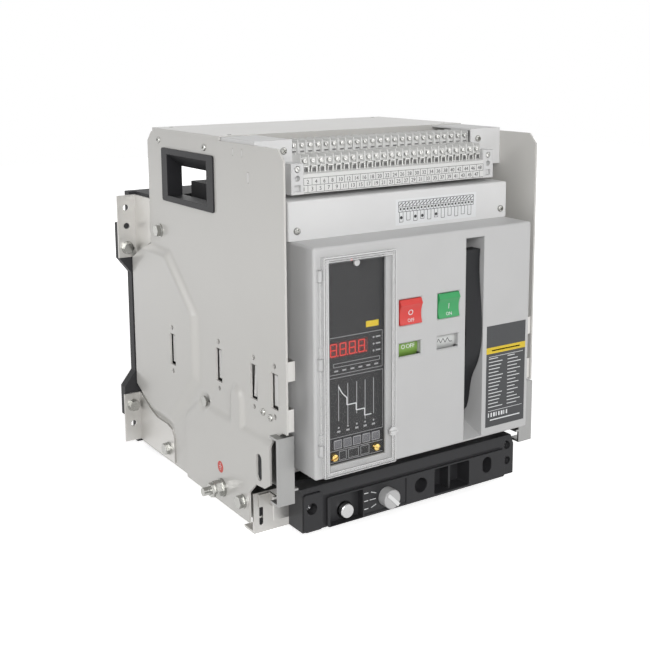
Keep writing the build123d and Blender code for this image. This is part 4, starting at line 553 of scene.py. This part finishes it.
def grown(name, tree, base, values, finish, body):
    """Run a tree on a base mesh and keep the result as a plain piece."""
    holder = bpy.data.objects.new(name + "_seed", base)
    scene.collection.objects.link(holder)
    growth = holder.modifiers.new("growth", "NODES")
    growth.node_group = tree.tree
    for label, value in {**values, "Finish": finish.material}.items():
        growth[tree.sockets[label]] = value
    seen = holder.evaluated_get(bpy.context.evaluated_depsgraph_get())
    mesh = bpy.data.meshes.new_from_object(seen)
    holder.modifiers.remove(growth)
    bpy.data.objects.remove(holder)
    add_piece(name, mesh, finish, body)


placed = Tree("placed", {"Places": "NodeSocketGeometry", "Part": "NodeSocketObject",
                         "Face": "NodeSocketRotation", "Finish": "NodeSocketMaterial"})
model = placed.node("GeometryNodeObjectInfo", {}, {"Object": placed.given("Part")}, "Geometry")
spin = placed.node("GeometryNodeInputNamedAttribute", {"data_type": "FLOAT"}, {"Name": "spin"})
about = placed.node("ShaderNodeCombineXYZ", {}, {"Z": spin})
own = placed.node("FunctionNodeEulerToRotation", {}, {0: about})
turn = placed.node("FunctionNodeRotateRotation", {"rotation_space": "LOCAL"},
                   {"Rotation": placed.given("Face"), "Rotate By": own})
placed.end(placed.node("GeometryNodeInstanceOnPoints", {}, {
    "Points": placed.given("Places"), "Instance": model, "Rotation": turn}, "Instances"))

FACES = {"front": (90, 0, 0), "left": (90, 0, -90), "right": (90, 0, 90), "up": (0, 0, 0)}


def set_out(name, part, spots, face, finish, body, seed):
    """One part on many places, each turned a little by chance."""
    places = bpy.data.meshes.new(name + "_places")
    places.from_pydata([at(*spot) for spot in spots], [], [])
    chance = np.random.default_rng(seed).uniform(0, math.tau, len(spots))
    places.attributes.new("spin", "FLOAT", "POINT").data.foreach_set("value", chance)
    holder = bpy.data.objects.new(name + "_part", part.copy())
    scene.collection.objects.link(holder)
    angles = tuple(math.radians(angle) for angle in FACES[face])
    grown(name, placed, places, {"Part": holder, "Face": angles}, finish, body)
    bpy.data.objects.remove(holder)


SIDES = (("left", -1), ("right", 1))
PLATE_SCREWS = ((302, 418.3), (176.5, 418), (381, 161), (49, 139), (33, 137))
screw_zinc = plated("screw_zinc", (0.44, 0.44, 0.42), 0.26)
cross_head = pan_head(4.0, 2.4, "cross")
for name, side in SIDES:
    spots = [(side * PLATE_HALF, depth, height) for depth, height in PLATE_SCREWS]
    set_out("plate_screws_" + name, cross_head, spots, name, screw_zinc, "cradle", 5)

# Top cover: folded steel sheet in the plates' paint, screwed down at its
# corners. Its front lip is rolled over.

COVER_SCREWS = [(x, depth, 431) for x in (-155, 155) for depth in (152, 308)]
dress(plate_paint, "top_cover")
set_out("cover_screws", cross_head, COVER_SCREWS, "up", screw_zinc, "cradle", 6)

# Rear base, pole base, arc chutes and current transformers: dark phenolic
# mouldings, pressed hot and a little chalky, bolted between the side plates.

base_moulding = moulding("base_moulding", (0.03, 0.03, 0.032), 0.55)
dress(base_moulding, "rear_base", "pole_base", "arc_chutes", "current_transformers")

# Busbars, terminals, finger jaws and contact arms: drawn copper, tarnished in
# clouds, with draw marks along the bars.

copper = Finish("copper")
tarnish = copper.noise(0.02, 4.0)
drawn = copper.noise(0.004, 2.0, (12, 1, 12))
copper.shade(Base_Color=copper.blend(tarnish, (0.6, 0.32, 0.2), (0.84, 0.5, 0.35)), Metallic=1.0,
             Roughness=tarnish * 0.2 + 0.2, Normal=copper.relief(drawn, 0.00008, 0.5, 0.0005))
dress(copper, "upper_busbars", "lower_busbars", "upper_terminals", "lower_terminals")
dress(copper, "finger_clusters", "moving_contacts")

# Wall brackets, feet, pan, channels, clips, chassis and mechanism frame: rolled
# steel sheet, zinc plated, punched and folded, held by hexagon bolts.

zinc_sheet = plated("zinc_sheet", (0.6, 0.59, 0.57), 0.42)
dress(zinc_sheet, "wall_brackets_upper", "wall_brackets_lower", "base_pan", "front_foot", "rear_foot")
dress(zinc_sheet, "beam_brackets", "rail_channels", "guide_clips", "breaker_chassis", "mechanism_frame")
zinc_bolt = plated("zinc_bolt", (0.44, 0.44, 0.42), 0.24)
dress(zinc_bolt, "side_bolts", "earth_bolts", "clamp_bolts")

# Earth mark: a round red label stuck on beside the earth stud, printed with the
# plain earth sign in white.

EARTH_MARK = (147, 44)
EARTH_BARS = ((3.5, 1), (2.2, -1), (1, -3))
PLATE_FRONT = -PLATE_HALF - LOW_RISE
LAYER = 0.1


def thicken(shape):
    """Give flat print one layer's thickness, down into its ground."""
    shape.normal_update()
    shape.faces.ensure_lookup_table()
    facing = shape.faces[0].normal.copy()
    down = Vector((1, 0, 0)) if abs(facing.x) > abs(facing.y) else Vector((0, 1, 0))
    copied = bmesh.ops.extrude_face_region(shape, geom=shape.faces[:], use_keep_orig=True)["geom"]
    moved = [part for part in copied if isinstance(part, bmesh.types.BMVert)]
    bmesh.ops.translate(shape, verts=moved, vec=down * LAYER * MM)


def label(name, outlines, place, finish, body):
    """Thin printed shapes, or painted highlight and shade lines; place puts a pair into space."""
    shape = bmesh.new()
    for outline in outlines:
        shape.faces.new([shape.verts.new(place(*point)) for point in outline])
    thicken(shape)
    add_piece(name, shape, finish, body)


def stroke(a0, b0, a1, b1, width=0.6):
    """A printed line."""
    run = Vector((a1 - a0, b1 - b0)).normalized() * width / 2
    x, y = run
    return [(a0 - y, b0 + x), (a0 + y, b0 - x), (a1 + y, b1 - x), (a1 - y, b1 + x)]


def printed(name, colour, rough=0.4, glow=0.0):
    """Ink or film, very slightly mottled, or painted highlight and shade lines; glow, where given, is a
    painted glow.
    """
    finish = Finish(name)
    mottle = finish.noise(0.002, 3.0)
    shade = tuple(channel * 0.9 for channel in colour)
    tone = finish.blend(mottle, shade, colour)
    extra = {"Emission_Color": tone, "Emission_Strength": glow} if glow else {}
    return finish.shade(Base_Color=tone, Roughness=mottle * 0.1 + rough, **extra)


def on_side(x):
    """Puts (depth, height) pairs on a plane across the cradle."""
    return lambda depth, height: at(x, depth, height)


def on_front(depth):
    """Puts (x, height) pairs on a plane that faces the front."""
    return lambda x, height: at(x, depth, height)


earth_red = printed("earth_red", (0.62, 0.05, 0.03))
white_ink = printed("white_ink", (0.78, 0.79, 0.8))
black_ink = printed("black_ink", (0.015, 0.015, 0.017))
label("earth_label", [ring(*EARTH_MARK, 7, 32)], on_side(PLATE_FRONT - LAYER), earth_red, "cradle")
depth, height = EARTH_MARK
sign = [stroke(depth, height + 1, depth, height + 5)]
sign += [stroke(depth - half, height + up, depth + half, height + up) for half, up in EARTH_BARS]
label("earth_sign", sign, on_side(PLATE_FRONT - 2 * LAYER), white_ink, "cradle")

# Slot plates: pale sliding shutters behind the plates' adjusting slots, one of
# them set aslant, and pale spring tongues behind the small slots at the top.
# Dark strips behind the tab's and the foot's slots are painted shade, for the
# shade inside those slots.

SHUTTER = ((-3.2, -17), (5.4, -17), (5.4, 17), (-3.2, 17))
ASLANT = ((0.5, -18), (6, -18), (2.5, 18), (-3, 18))
SHUTTER_FRONT, SHUTTER_BACK = 0.9, 2.4
TONGUES = [(depth, FINE_SLOT_HEIGHT, 0.8, 3.4) for depth in FINE_SLOT_DEPTHS] + [(*ROUND_SLOT, 1.6, 5.4)]
TONGUE_REACH = 2.8
TAB_SHADE = (46.5, 61.5, 57, 92)
SHADE_GAP = 0.1
SHADE_T = 0.8
FOOT_SLOT_X = 165.5
FOOT_SHADE_HALF = 3.4
liner_paint = paint("liner_paint", (0.72, 0.71, 0.7), 0.35)
for name, side in SIDES:
    inner = side * (PLATE_HALF - PLATE_T)
    shutters = bmesh.new()
    for index, (depth, height) in enumerate(ADJUSTING_SLOTS):
        form = ASLANT if index == 2 else SHUTTER
        lift = OCTAGON_RISE if index == 0 else 0
        points = [(depth + across, height + up) for across, up in form]
        prism(shutters, points, inner + side * (lift - SHUTTER_FRONT), inner + side * (lift - SHUTTER_BACK))
    add_piece("slot_shutters_" + name, shutters, liner_paint, "cradle")
    tongues = bmesh.new()
    for depth, height, half, tall in TONGUES:
        outline = box(depth - half, depth + half, height - tall, height + tall)
        prism(tongues, outline, inner, inner + side * TONGUE_REACH)
    add_piece("spring_tongues_" + name, tongues, liner_paint, "cradle")
    # Painted shade: a dark strip behind the tab's slot stands for the shade in it.
    behind = inner + side * (LOW_RISE - SHADE_GAP)
    shade = bmesh.new()
    prism(shade, box(*TAB_SHADE), behind, behind - side * SHADE_T)
    add_piece("tab_shade_" + name, shade, black_moulding, "cradle")
# Painted shade: dark strips behind the foot's slots stand for the shade in them.
foot_painted_shade = bmesh.new()
for name, side in SIDES:
    middle = side * FOOT_SLOT_X
    brick(foot_painted_shade, at(middle - FOOT_SHADE_HALF, 78.2, -7), at(middle + FOOT_SHADE_HALF, 78.9, 29))
add_piece("foot_shades", foot_painted_shade, black_moulding, "cradle")

# Guide rails with folded grips: bare drawn steel, brushed along its length. They
# slide in the channels beside the breaker.

rail_steel = plated("rail_steel", (0.36, 0.36, 0.355), 0.42, (14, 14, 1))
dress(rail_steel, "guide_rail_left", "guide_rail_right")

# Racking gear, slide feet, shafts, cam, spring and splitter plates: turned, drawn
# and punched steel, oiled and left dark.

steel_dark = plated("steel_dark", (0.42, 0.42, 0.43), 0.36)
dress(steel_dark, "screw_bearing", "racking_screw", "racking_carriage", "support_lugs")
dress(steel_dark, "charging_cam", "main_shaft", "arc_splitters", "closing_spring")

# Front beam: one black moulding that carries the racking controls. The store
# for the crank, the lock and the position dial sit in its raised panel.

DIAL = (-43.0, 27.0, -10.1)
POINTER_LEAN = Vector((7.2, -7.2))
POINTER_WIDE = Vector((1.5, 1.5))
POINTER_DEPTHS = (2.2, -1.6)
DIAL_PLATE_FACE = 3.2
DIAL_TICKS = ((-64, 36.5, -57, 33.8), (-66, 27.3, -57.5, 27.3), (-64, 18, -57, 20.6))
DIAL_RULES = (-73.5, -68)
BEAM_SCREWS = [(-141.5, 15.5, 35), (143, 15, 46.5), (143, 15, 27)]
beam_plastic = moulding("beam_plastic", (0.028, 0.028, 0.03), 0.38)
dress(beam_plastic, "front_beam")
lock_metal = plated("lock_metal", (0.55, 0.55, 0.55), 0.2)
dress(lock_metal, "lock_button")
dial_paint = paint("dial_paint", (0.5, 0.5, 0.5), 0.35)
dress(dial_paint, "position_knob")
pointer_paint = paint("pointer_paint", (0.8, 0.8, 0.8), 0.35)
x, height, face = DIAL
blade = [POINTER_LEAN + POINTER_WIDE, POINTER_LEAN - POINTER_WIDE]
blade += [-POINTER_LEAN - POINTER_WIDE, -POINTER_LEAN + POINTER_WIDE]
rib = bmesh.new()
loft(rib, [[at(x + corner.x, face + depth, height + corner.y) for corner in blade]
           for depth in POINTER_DEPTHS])
add_piece("dial_pointer", rib, pointer_paint, "position_dial")
marks = [stroke(*tick, 0.8) for tick in DIAL_TICKS]
marks += [box(*DIAL_RULES, tick[1] - 0.5, tick[1] + 0.5) for tick in DIAL_TICKS]
label("dial_marks", marks, on_front(DIAL_PLATE_FACE - LAYER), white_ink, "cradle")
set_out("beam_screws", pan_head(5.2, 3.0, "cross"), BEAM_SCREWS, "front", steel_dark, "cradle", 9)

# Secondary wiring block: a pale moulding with two tiers of clamps, grey end
# blocks and white end brackets. The clamps are nickel-plated, one per column,
# and each column is numbered on the strip below.

COLUMNS = 24
PITCH = 10.5
FIRST = -PITCH * (COLUMNS - 1) / 2
CLAMP_TIERS = (("low", 45.8, 409.5, 11), ("high", 67.8, 424.5, 12))
CHEEK = ((-3.6, 397), (-2.6, 397), (-2.6, 403), (-3.6, 404.5))
STRIP_FACE = 40
STRIP_LINES = (374.9, 376.3, 384.0, 391.8)
STRIP_HALF = 126
LINE_HALF = 0.2
EVEN_FOOT, ODD_FOOT = 385.6, 378.0
NUMBER_TALL = 4.4
CAPITAL_SHARE = 0.72
terminal_plastic = moulding("terminal_plastic", (0.66, 0.66, 0.65), 0.36)
dress(terminal_plastic, "terminal_block")
end_plastic = moulding("end_plastic", (0.6, 0.6, 0.6), 0.4)
dress(end_plastic, "terminal_ends")
white_plastic = moulding("white_plastic", (0.66, 0.66, 0.66), 0.42)
dress(white_plastic, "terminal_brackets")
nickel = plated("nickel", (0.66, 0.66, 0.64), 0.42)
column_x = [FIRST + PITCH * index for index in range(COLUMNS)]
clamp_head = pan_head(2.7, 1.6, "slot")
for tier, depth, height, seed in CLAMP_TIERS:
    spots = [(x, depth, height) for x in column_x]
    set_out("clamp_screws_" + tier, clamp_head, spots, "front", nickel, "cradle", seed)

row = Tree("row", {"Cell": "NodeSocketGeometry", "Count": "NodeSocketInt", "Pitch": "NodeSocketFloat",
                   "Finish": "NodeSocketMaterial"})
step = row.node("ShaderNodeCombineXYZ", {}, {"X": row.given("Pitch")})
line = row.node("GeometryNodeMeshLine", {}, {"Count": row.given("Count"), "Offset": step})
row.end(row.node("GeometryNodeInstanceOnPoints", {}, {
    "Points": line, "Instance": row.given("Cell")}, "Instances"))


def in_rows(name, outlines, depths, finish):
    """Solid outlines of the first cell, as (x from its middle, height), repeated along the block."""
    cell = bmesh.new()
    for outline in outlines:
        loft(cell, [[at(FIRST + x, depth, height) for x, height in outline] for depth in depths])
    bmesh.ops.recalc_face_normals(cell, faces=cell.faces)
    base = bpy.data.meshes.new(name)
    cell.to_mesh(base)
    cell.free()
    grown(name, row, base, {"Count": COLUMNS, "Pitch": PITCH * MM}, finish, "cradle")


other_cheek = [(-x, height) for x, height in reversed(CHEEK)]
in_rows("clamp_cages", [CHEEK, other_cheek, box(-3.6, 3.6, 403.4, 404.6)], (43.6, 46.2), nickel)
mouth_grey = moulding("mouth_grey", (0.14, 0.14, 0.14), 0.5)
# Painted shade: dark grey patches inside the clamps stand for the shade in the wire openings.
in_rows("wire_mouths_low", [box(-2.2, 2.2, 398, 401.6)], (45.7, 46.1), mouth_grey)
in_rows("wire_mouths_high", [box(-2.4, 2.4, 417.2, 418.6)], (67.6, 68.1), mouth_grey)
in_rows("strip_ticks", [box(-4.2, 4.2, 396.3, 396.9)], (43.2, 46.1), mouth_grey)

low_line, middle_line, top_line = STRIP_LINES[1:]
cells = [box(-STRIP_HALF, STRIP_HALF, height - LINE_HALF, height + LINE_HALF) for height in STRIP_LINES]
for n in range(COLUMNS + 1):
    between = FIRST + PITCH * (n - 0.5)
    cells.append(box(between - LINE_HALF, between + LINE_HALF, middle_line, top_line))
cells += [box(x - LINE_HALF, x + LINE_HALF, low_line, middle_line) for x in column_x]
label("number_cells", cells, on_front(STRIP_FACE - LAYER), black_ink, "cradle")


def words(name, lines, place, finish, body):
    """Plain numbers and signs: (text, middle, foot, height) each, put on by place."""
    shape = bmesh.new()
    for text, middle, foot, tall in lines:
        curve = bpy.data.curves.new("letters", "FONT")
        curve.body = text
        curve.size = tall / CAPITAL_SHARE
        curve.align_x = "CENTER"
        curve.resolution_u = 3
        holder = bpy.data.objects.new("letters", curve)
        scene.collection.objects.link(holder)
        mesh = bpy.data.meshes.new_from_object(holder.evaluated_get(bpy.context.evaluated_depsgraph_get()))
        start = len(shape.verts)
        shape.from_mesh(mesh)
        shape.verts.ensure_lookup_table()
        for vert in shape.verts[start:]:
            vert.co = place(middle + vert.co.x, foot + vert.co.y)
        bpy.data.objects.remove(holder)
        bpy.data.meshes.remove(mesh)
        bpy.data.curves.remove(curve)
    thicken(shape)
    add_piece(name, shape, finish, body)


numbers = [(str(2 * n + 2), x, EVEN_FOOT, NUMBER_TALL) for n, x in enumerate(column_x)]
numbers += [(str(2 * n + 1), x - PITCH / 2 + 0.3, ODD_FOOT, NUMBER_TALL) for n, x in enumerate(column_x)]
words("column_numbers", numbers, on_front(STRIP_FACE - 1.5 * LAYER), black_ink, "cradle")
end_screws = [(x, 41.5, 402) for x in (-133.7, 133.7)]
set_out("end_screws", pan_head(3.2, 2.2, "slot"), end_screws, "front", nickel, "cradle", 13)
bracket_screws = [(x, 63, 420) for x in (-137, 137)]
set_out("bracket_screws", cross_head, bracket_screws, "front", zinc_bolt, "cradle", 14)

# Shoulder cover: a white moulding over the arc chutes, with two screws and a
# printed wiring sketch of plain boxes, loops and dots.

SHOULDER_FACE = 27.6
SKETCH_BOXES = 22
SKETCH_LEFT, SKETCH_LOW = -9.0, 346.5
BOX_WIDE, BOX_TALL = 5.0, 5.8
DOTTED_LOOPS = (0, 4, 6, 10)
dress(white_plastic, "shoulder_cover")
shoulder_screws = [(x, 27.4, 338) for x in (-143, 143)]
set_out("shoulder_screws", cross_head, shoulder_screws, "front", zinc_bolt, "breaker", 15)
sketch_right = SKETCH_LEFT + SKETCH_BOXES * BOX_WIDE
sketch_top = SKETCH_LOW + 2 * BOX_TALL
paper = box(SKETCH_LEFT - 4, sketch_right + 4, SKETCH_LOW - 15, sketch_top + 3)
label("sketch_paper", [paper], on_front(SHOULDER_FACE - LAYER), white_ink, "breaker")
sketch = []
for n in range(3):
    height = SKETCH_LOW + BOX_TALL * n
    sketch.append(stroke(SKETCH_LEFT, height, sketch_right, height, 0.55))
for n in range(SKETCH_BOXES + 1):
    x = SKETCH_LEFT + BOX_WIDE * n
    sketch.append(stroke(x, SKETCH_LOW, x, sketch_top, 0.5))
for n in range(SKETCH_BOXES):
    x = SKETCH_LEFT + BOX_WIDE * n
    sketch.append(box(x + 1.6, x + 3.8, SKETCH_LOW + 2, SKETCH_LOW + 4.4))
    sketch.append(stroke(x, SKETCH_LOW + BOX_TALL + 1, x + BOX_WIDE, sketch_top - 1, 0.8))
for n in range(0, SKETCH_BOXES, 2):
    near, far = (SKETCH_LEFT + BOX_WIDE * n + step for step in (1.4, 6.4))
    foot = SKETCH_LOW - (10 if n % 4 else 11.5)
    sketch += [stroke(near, SKETCH_LOW, near, foot, 0.5), stroke(far, SKETCH_LOW, far, foot, 0.5)]
    sketch.append(stroke(near, foot, far, foot, 0.5))
sketch += [ring(SKETCH_LEFT + BOX_WIDE * n + 3.9, SKETCH_LOW - 6.5, 1.9, 12) for n in DOTTED_LOOPS]
label("wiring_sketch", sketch, on_front(SHOULDER_FACE - 2 * LAYER), black_ink, "breaker")

# Front cover: a light grey moulding with a fine grain, in one shell. It carries
# the windows, the buttons, the handle's slot and a dark rating plate, whose text
# is plain rules.

COVER_FACE = -18.1
RATING_FILM = COVER_FACE - 1.5 * LAYER
RATING_INK = RATING_FILM - LAYER
RULE_ROWS = 15
RULE_TOP = 170
RULE_STEP = 4.2
cover_plastic = moulding("cover_plastic", (0.5, 0.5, 0.5), 0.44, edge=0.0014)
dress(cover_plastic, "front_cover")
plate_film = printed("plate_film", (0.035, 0.037, 0.04), 0.35)
yellow_ink = printed("yellow_ink", (0.72, 0.52, 0.02), 0.35)
label("rating_plate", [box(85, 145.5, 87.5, 210)], on_front(RATING_FILM), plate_film, "breaker")
label("rating_band", [box(85, 145.5, 176.5, 184)], on_front(RATING_INK), yellow_ink, "breaker")
rules = [box(93, 137, 179.4, 180.8), box(89, 142, 172.5, 173.0)]
rules += [box(89, 142, 106.6, 107.1), box(92, 139, 95, 96.4)]
for n in range(RULE_ROWS):
    height = RULE_TOP - RULE_STEP * n
    rules.append(box(89, 103 + (n * 7) % 9, height, height + 0.9))
    rules.append(box(118, 129 + (n * 5) % 11, height, height + 0.9))
rules += [box(89 + 4 * n, 90.4 + 4 * n + n % 3 * 0.6, 99.5, 104.5) for n in range(8)]
label("rating_rules", rules, on_front(RATING_INK), white_ink, "breaker")

# Push buttons: red and green mouldings with a dished face, marked O and I. They
# slide in the cover's guides, and the marks are printed on them.

BUTTON_FACE = -21.1
BUTTON_MIDDLE = 244
BUTTON_LEAN = 1 / 6
BUTTON_DISH = 0.0215
BUTTON_MARKS = ((-26, "O", "OFF", "off_push"), (27.5, "I", "ON", "on_push"))


def on_button(x, height):
    """Puts print on the dished face of a button, 0.3 mm proud."""
    up = height - BUTTON_MIDDLE
    return at(x, BUTTON_FACE + 2.7 - BUTTON_LEAN * up - BUTTON_DISH * up * up, height)


button_red = moulding("button_red", (0.6, 0.035, 0.028), 0.3)
dress(button_red, "off_button")
button_green = moulding("button_green", (0.025, 0.3, 0.09), 0.3)
dress(button_green, "on_button")
for x, mark, word, body in BUTTON_MARKS:
    words("mark_" + body, [(mark, x, 240, 6.4), (word, x, 232.6, 3.8)], on_button, white_ink, body)

# State flags: printed plastic drums behind two windows, one for the contacts and
# one for the spring. Each turns on a pin in the mechanism.

FLAG_AXIS = (9.0, 201.5)
FLAG_R = 20.0
FLAG_PRINT_LIFT = 0.2
flag_green = printed("flag_green", (0.2, 0.36, 0.07), 0.4)
dress(flag_green, "state_flag")
flag_white = printed("flag_white", (0.66, 0.67, 0.66), 0.4)
dress(flag_white, "charge_flag")


def on_drum(x, height):
    """Puts print on a flag's drum."""
    depth, middle = FLAG_AXIS
    return at(x, depth - math.sqrt((FLAG_R + FLAG_PRINT_LIFT) ** 2 - (height - middle) ** 2), height)


words("state_words", [("O", -31, 200.6, 5), ("OFF", -21, 200.6, 5)], on_drum, white_ink, "state_indicator")
spring_sign = [stroke(13.5, 199, 16, 199, 0.7), stroke(35.2, 199, 39, 199, 0.7)]
for n in range(6):
    x, swing = 16 + 3.2 * n, 5 * (n % 2)
    spring_sign.append(stroke(x, 199 + swing, x + 3.2, 204 - swing, 0.7))
label("charge_sign", spring_sign, on_drum, black_ink, "charge_indicator")

# Charging handle: a charcoal moulding with a fine grain, which lies in the
# cover's slot and swings out on its shaft.

handle_plastic = moulding("handle_plastic", (0.013, 0.0135, 0.015), 0.46)
dress(handle_plastic, "charging_handle")

# Trip unit: a black box behind a clear door. Its face is printed film with a
# red display, a stepped curve chart, rows of small clear keys and brass sockets.

TRIP_FACE = -14.0
DISPLAY = (-131, -80.5, 206, 223)
DIGIT = (7.4, 13)
DIGIT_CORNER = (-128.5, 208)
DIGIT_PITCH = 12
SEGMENTS = (
    (0, 1, 1, 1), (0, 0.5, 1, 0.5), (0, 0, 1, 0),
    (0, 0, 0, 0.5), (0, 0.5, 0, 1), (1, 0, 1, 0.5), (1, 0.5, 1, 1),
)
PATCH = (-83, -66.4, 233.7, 240.3)
TRIANGLE = ((-103, 308), (-99.5, 308), (-101.2, 311.5))
FIELDS = ((-131, -61.5, 187.5, 228), (-125, -65, 195.5, 199.5), (-131, -60.8, 117.6, 184))
LAMP_HEIGHTS = (206.5, 214, 221.5)
CHART_TOP = 176
CHART_LINES = ((-118.6, 136), (-106.8, 130), (-95.2, 140), (-84.2, 132), (-73, 136))
CURVE = (
    (-118.6, 174), (-114, 166), (-108, 160), (-108, 152), (-96, 152),
    (-96, 144), (-85, 144), (-85, 136), (-76, 136),
)
KEYS = 5
KEY_PITCH = 12.4
KEY_CORNER = (-126, 105.5)
KEY = (10.6, 10)
KEY_PROUD = 1.4
LOW_KEYS = ((-118, -109), (-106, -93), (-90, -79))
SOCKETS = [(-125.5, TRIP_FACE, 97), (-70.5, TRIP_FACE, 97.4)]


def framed(a0, a1, b0, b1, width=0.5, top_width=0.5):
    """Four lines round a rectangle, printed or painted highlight and shade; the top one may be wider."""
    sides = [stroke(a0, b0, a0, b1, width), stroke(a1, b0, a1, b1, width)]
    return sides + [stroke(a0, b0, a1, b0, width), stroke(a0, b1, a1, b1, top_width)]


trip_plastic = printed("trip_plastic", (0.012, 0.012, 0.013), 0.55)
dress(trip_plastic, "trip_unit")
dress(moulding("reset_plastic", (0.6, 0.6, 0.6), 0.35), "reset_button")
display_film = printed("display_film", (0.09, 0.012, 0.012), 0.2)
# Painted glow: the red digits and the printed red triangle are given a faint glow of their own.
display_red_painted_glow = printed("display_red_painted_glow", (0.62, 0.03, 0.02), 0.3, 0.3)
grey_ink = printed("grey_ink", (0.42, 0.42, 0.43), 0.4)
first_ink = on_front(TRIP_FACE - LAYER)
second_ink = on_front(TRIP_FACE - 2 * LAYER)
label("display_window", [box(*DISPLAY)], first_ink, display_film, "breaker")
wide, tall = DIGIT
digits = []
for n in range(4):
    x, foot = DIGIT_CORNER[0] + DIGIT_PITCH * n, DIGIT_CORNER[1]
    for a0, b0, a1, b1 in SEGMENTS:
        digits.append(stroke(x + a0 * wide, foot + b0 * tall, x + a1 * wide, foot + b1 * tall, 1.3))
    digits.append(ring(x + wide + 2, foot, 0.8, 8))
label("display_digits", digits, second_ink, display_red_painted_glow, "breaker")
label("trip_patch", [box(*PATCH)], first_ink, yellow_ink, "breaker")
label("trip_triangle", [TRIANGLE], first_ink, display_red_painted_glow, "breaker")
face_lines = [line for field in FIELDS for line in framed(*field)]
face_lines += [box(-124 + 10.4 * n, -119 + 10.4 * n, 190.5, 192.2) for n in range(6)]
for height in LAMP_HEIGHTS:
    face_lines += [ring(-73, height, 1.2, 10), box(-70, -64, height - 0.7, height + 0.9)]
for x, foot in CHART_LINES:
    face_lines.append(stroke(x, foot, x, CHART_TOP, 0.8))
    face_lines += [box(x - 2, x + 2, 123, 125), ring(x, 128.4, 1.1, 8)]
label("trip_lines", face_lines, first_ink, grey_ink, "breaker")
steps = [stroke(*first, *second, 1.1) for first, second in zip(CURVE, CURVE[1:])]
label("trip_curve", steps, second_ink, white_ink, "breaker")

# Pale lines round each clear key's face, wider along the top, are painted highlights on its edges.
keys = bmesh.new()
key_lines = []
low, high = KEY_CORNER[1], KEY_CORNER[1] + KEY[1]
for n in range(KEYS):
    left = KEY_CORNER[0] + KEY_PITCH * n
    brick(keys, at(left, TRIP_FACE - KEY_PROUD, low), at(left + KEY[0], TRIP_FACE + 0.5, high))
    key_lines += framed(left + 0.4, left + KEY[0] - 0.4, low + 0.5, high - 0.5, top_width=0.7)
key_clear = moulding("key_clear", (0.12, 0.12, 0.13), 0.25)
rounding = add_piece("trip_keys", keys, key_clear, "breaker").modifiers.new("round", "BEVEL")
rounding.width = 0.0006
rounding.segments = 2
label("key_lines", key_lines, on_front(TRIP_FACE - KEY_PROUD - LAYER), grey_ink, "breaker")
row_lines = [stroke(-131, height, -61, height, 0.5) for height in (103.2, 90.5)]
for a0, a1 in LOW_KEYS:
    row_lines += framed(a0, a1, 92, 101.5)
label("trip_row", row_lines, first_ink, grey_ink, "breaker")
brass = plated("brass", (0.83, 0.6, 0.2), 0.25)
set_out("trip_sockets", pan_head(4.4, 5.0, "slot"), SOCKETS, "front", brass, "breaker", 16)

# Door: one clear acrylic moulding with a raised rim, hinged on the left and
# held by a quarter-turn latch. Its rim is a little less clear by its thickness,
# and is painted paler as a painted highlight. Fine lines along its edges are
# painted highlight and painted shade.

DOOR_FACE = -24.5
DOOR = (-143, -50, 79, 317)
RIM_SIDES = (-138.5, -54.5)
RIM_ENDS = (84 + FOOT_DROP, 312 + FOOT_DROP)
clear = Finish("clear_acrylic")
haze = clear.noise(0.04, 2.0)
across = clear.axis("X")
upward = clear.axis("Z")
side_rim = (across < RIM_SIDES[0] * MM) + (across > RIM_SIDES[1] * MM)
end_rim = (upward < RIM_ENDS[0] * MM) + (upward > RIM_ENDS[1] * MM)
rim = (side_rim + end_rim).maths("MINIMUM", 1.0)
# Painted highlight: the rim's colour is made paler for the light along it.
clear.shade(Base_Color=clear.blend(rim, (0.3, 0.3, 0.3), (0.8, 0.8, 0.8)), Roughness=haze * 0.05 + 0.03,
            Alpha=rim * 0.24 + 0.02, Normal=clear.relief(haze, 0.0001, 0.1, 0.0008))
dress(clear, "controller_door")
# Painted highlight and painted shade: pale and dark lines along the door's edges.
edge_light = printed("edge_light", (0.86, 0.86, 0.86), 0.2)
edge_shade = printed("edge_shade", (0.2, 0.2, 0.2), 0.2)
x0, x1, h0, h1 = DOOR
for name, finish, insets in (("lit", edge_light, (0.5, 5.2)), ("dark", edge_shade, (1.6, 6.2))):
    lines = [line for inset in insets for line in framed(x0 + inset, x1 - inset, h0 + inset, h1 - inset)]
    label("door_edges_" + name, lines, on_front(DOOR_FACE - LAYER), finish, "trip_door")
dress(moulding("latch_plastic", (0.62, 0.62, 0.62), 0.25), "door_latch")

# Links of the contact drive: brown moulded insulation, between the main shaft's
# cranks and the contact arms.

dress(moulding("link_plastic", (0.3, 0.16, 0.06), 0.5), "contact_links")
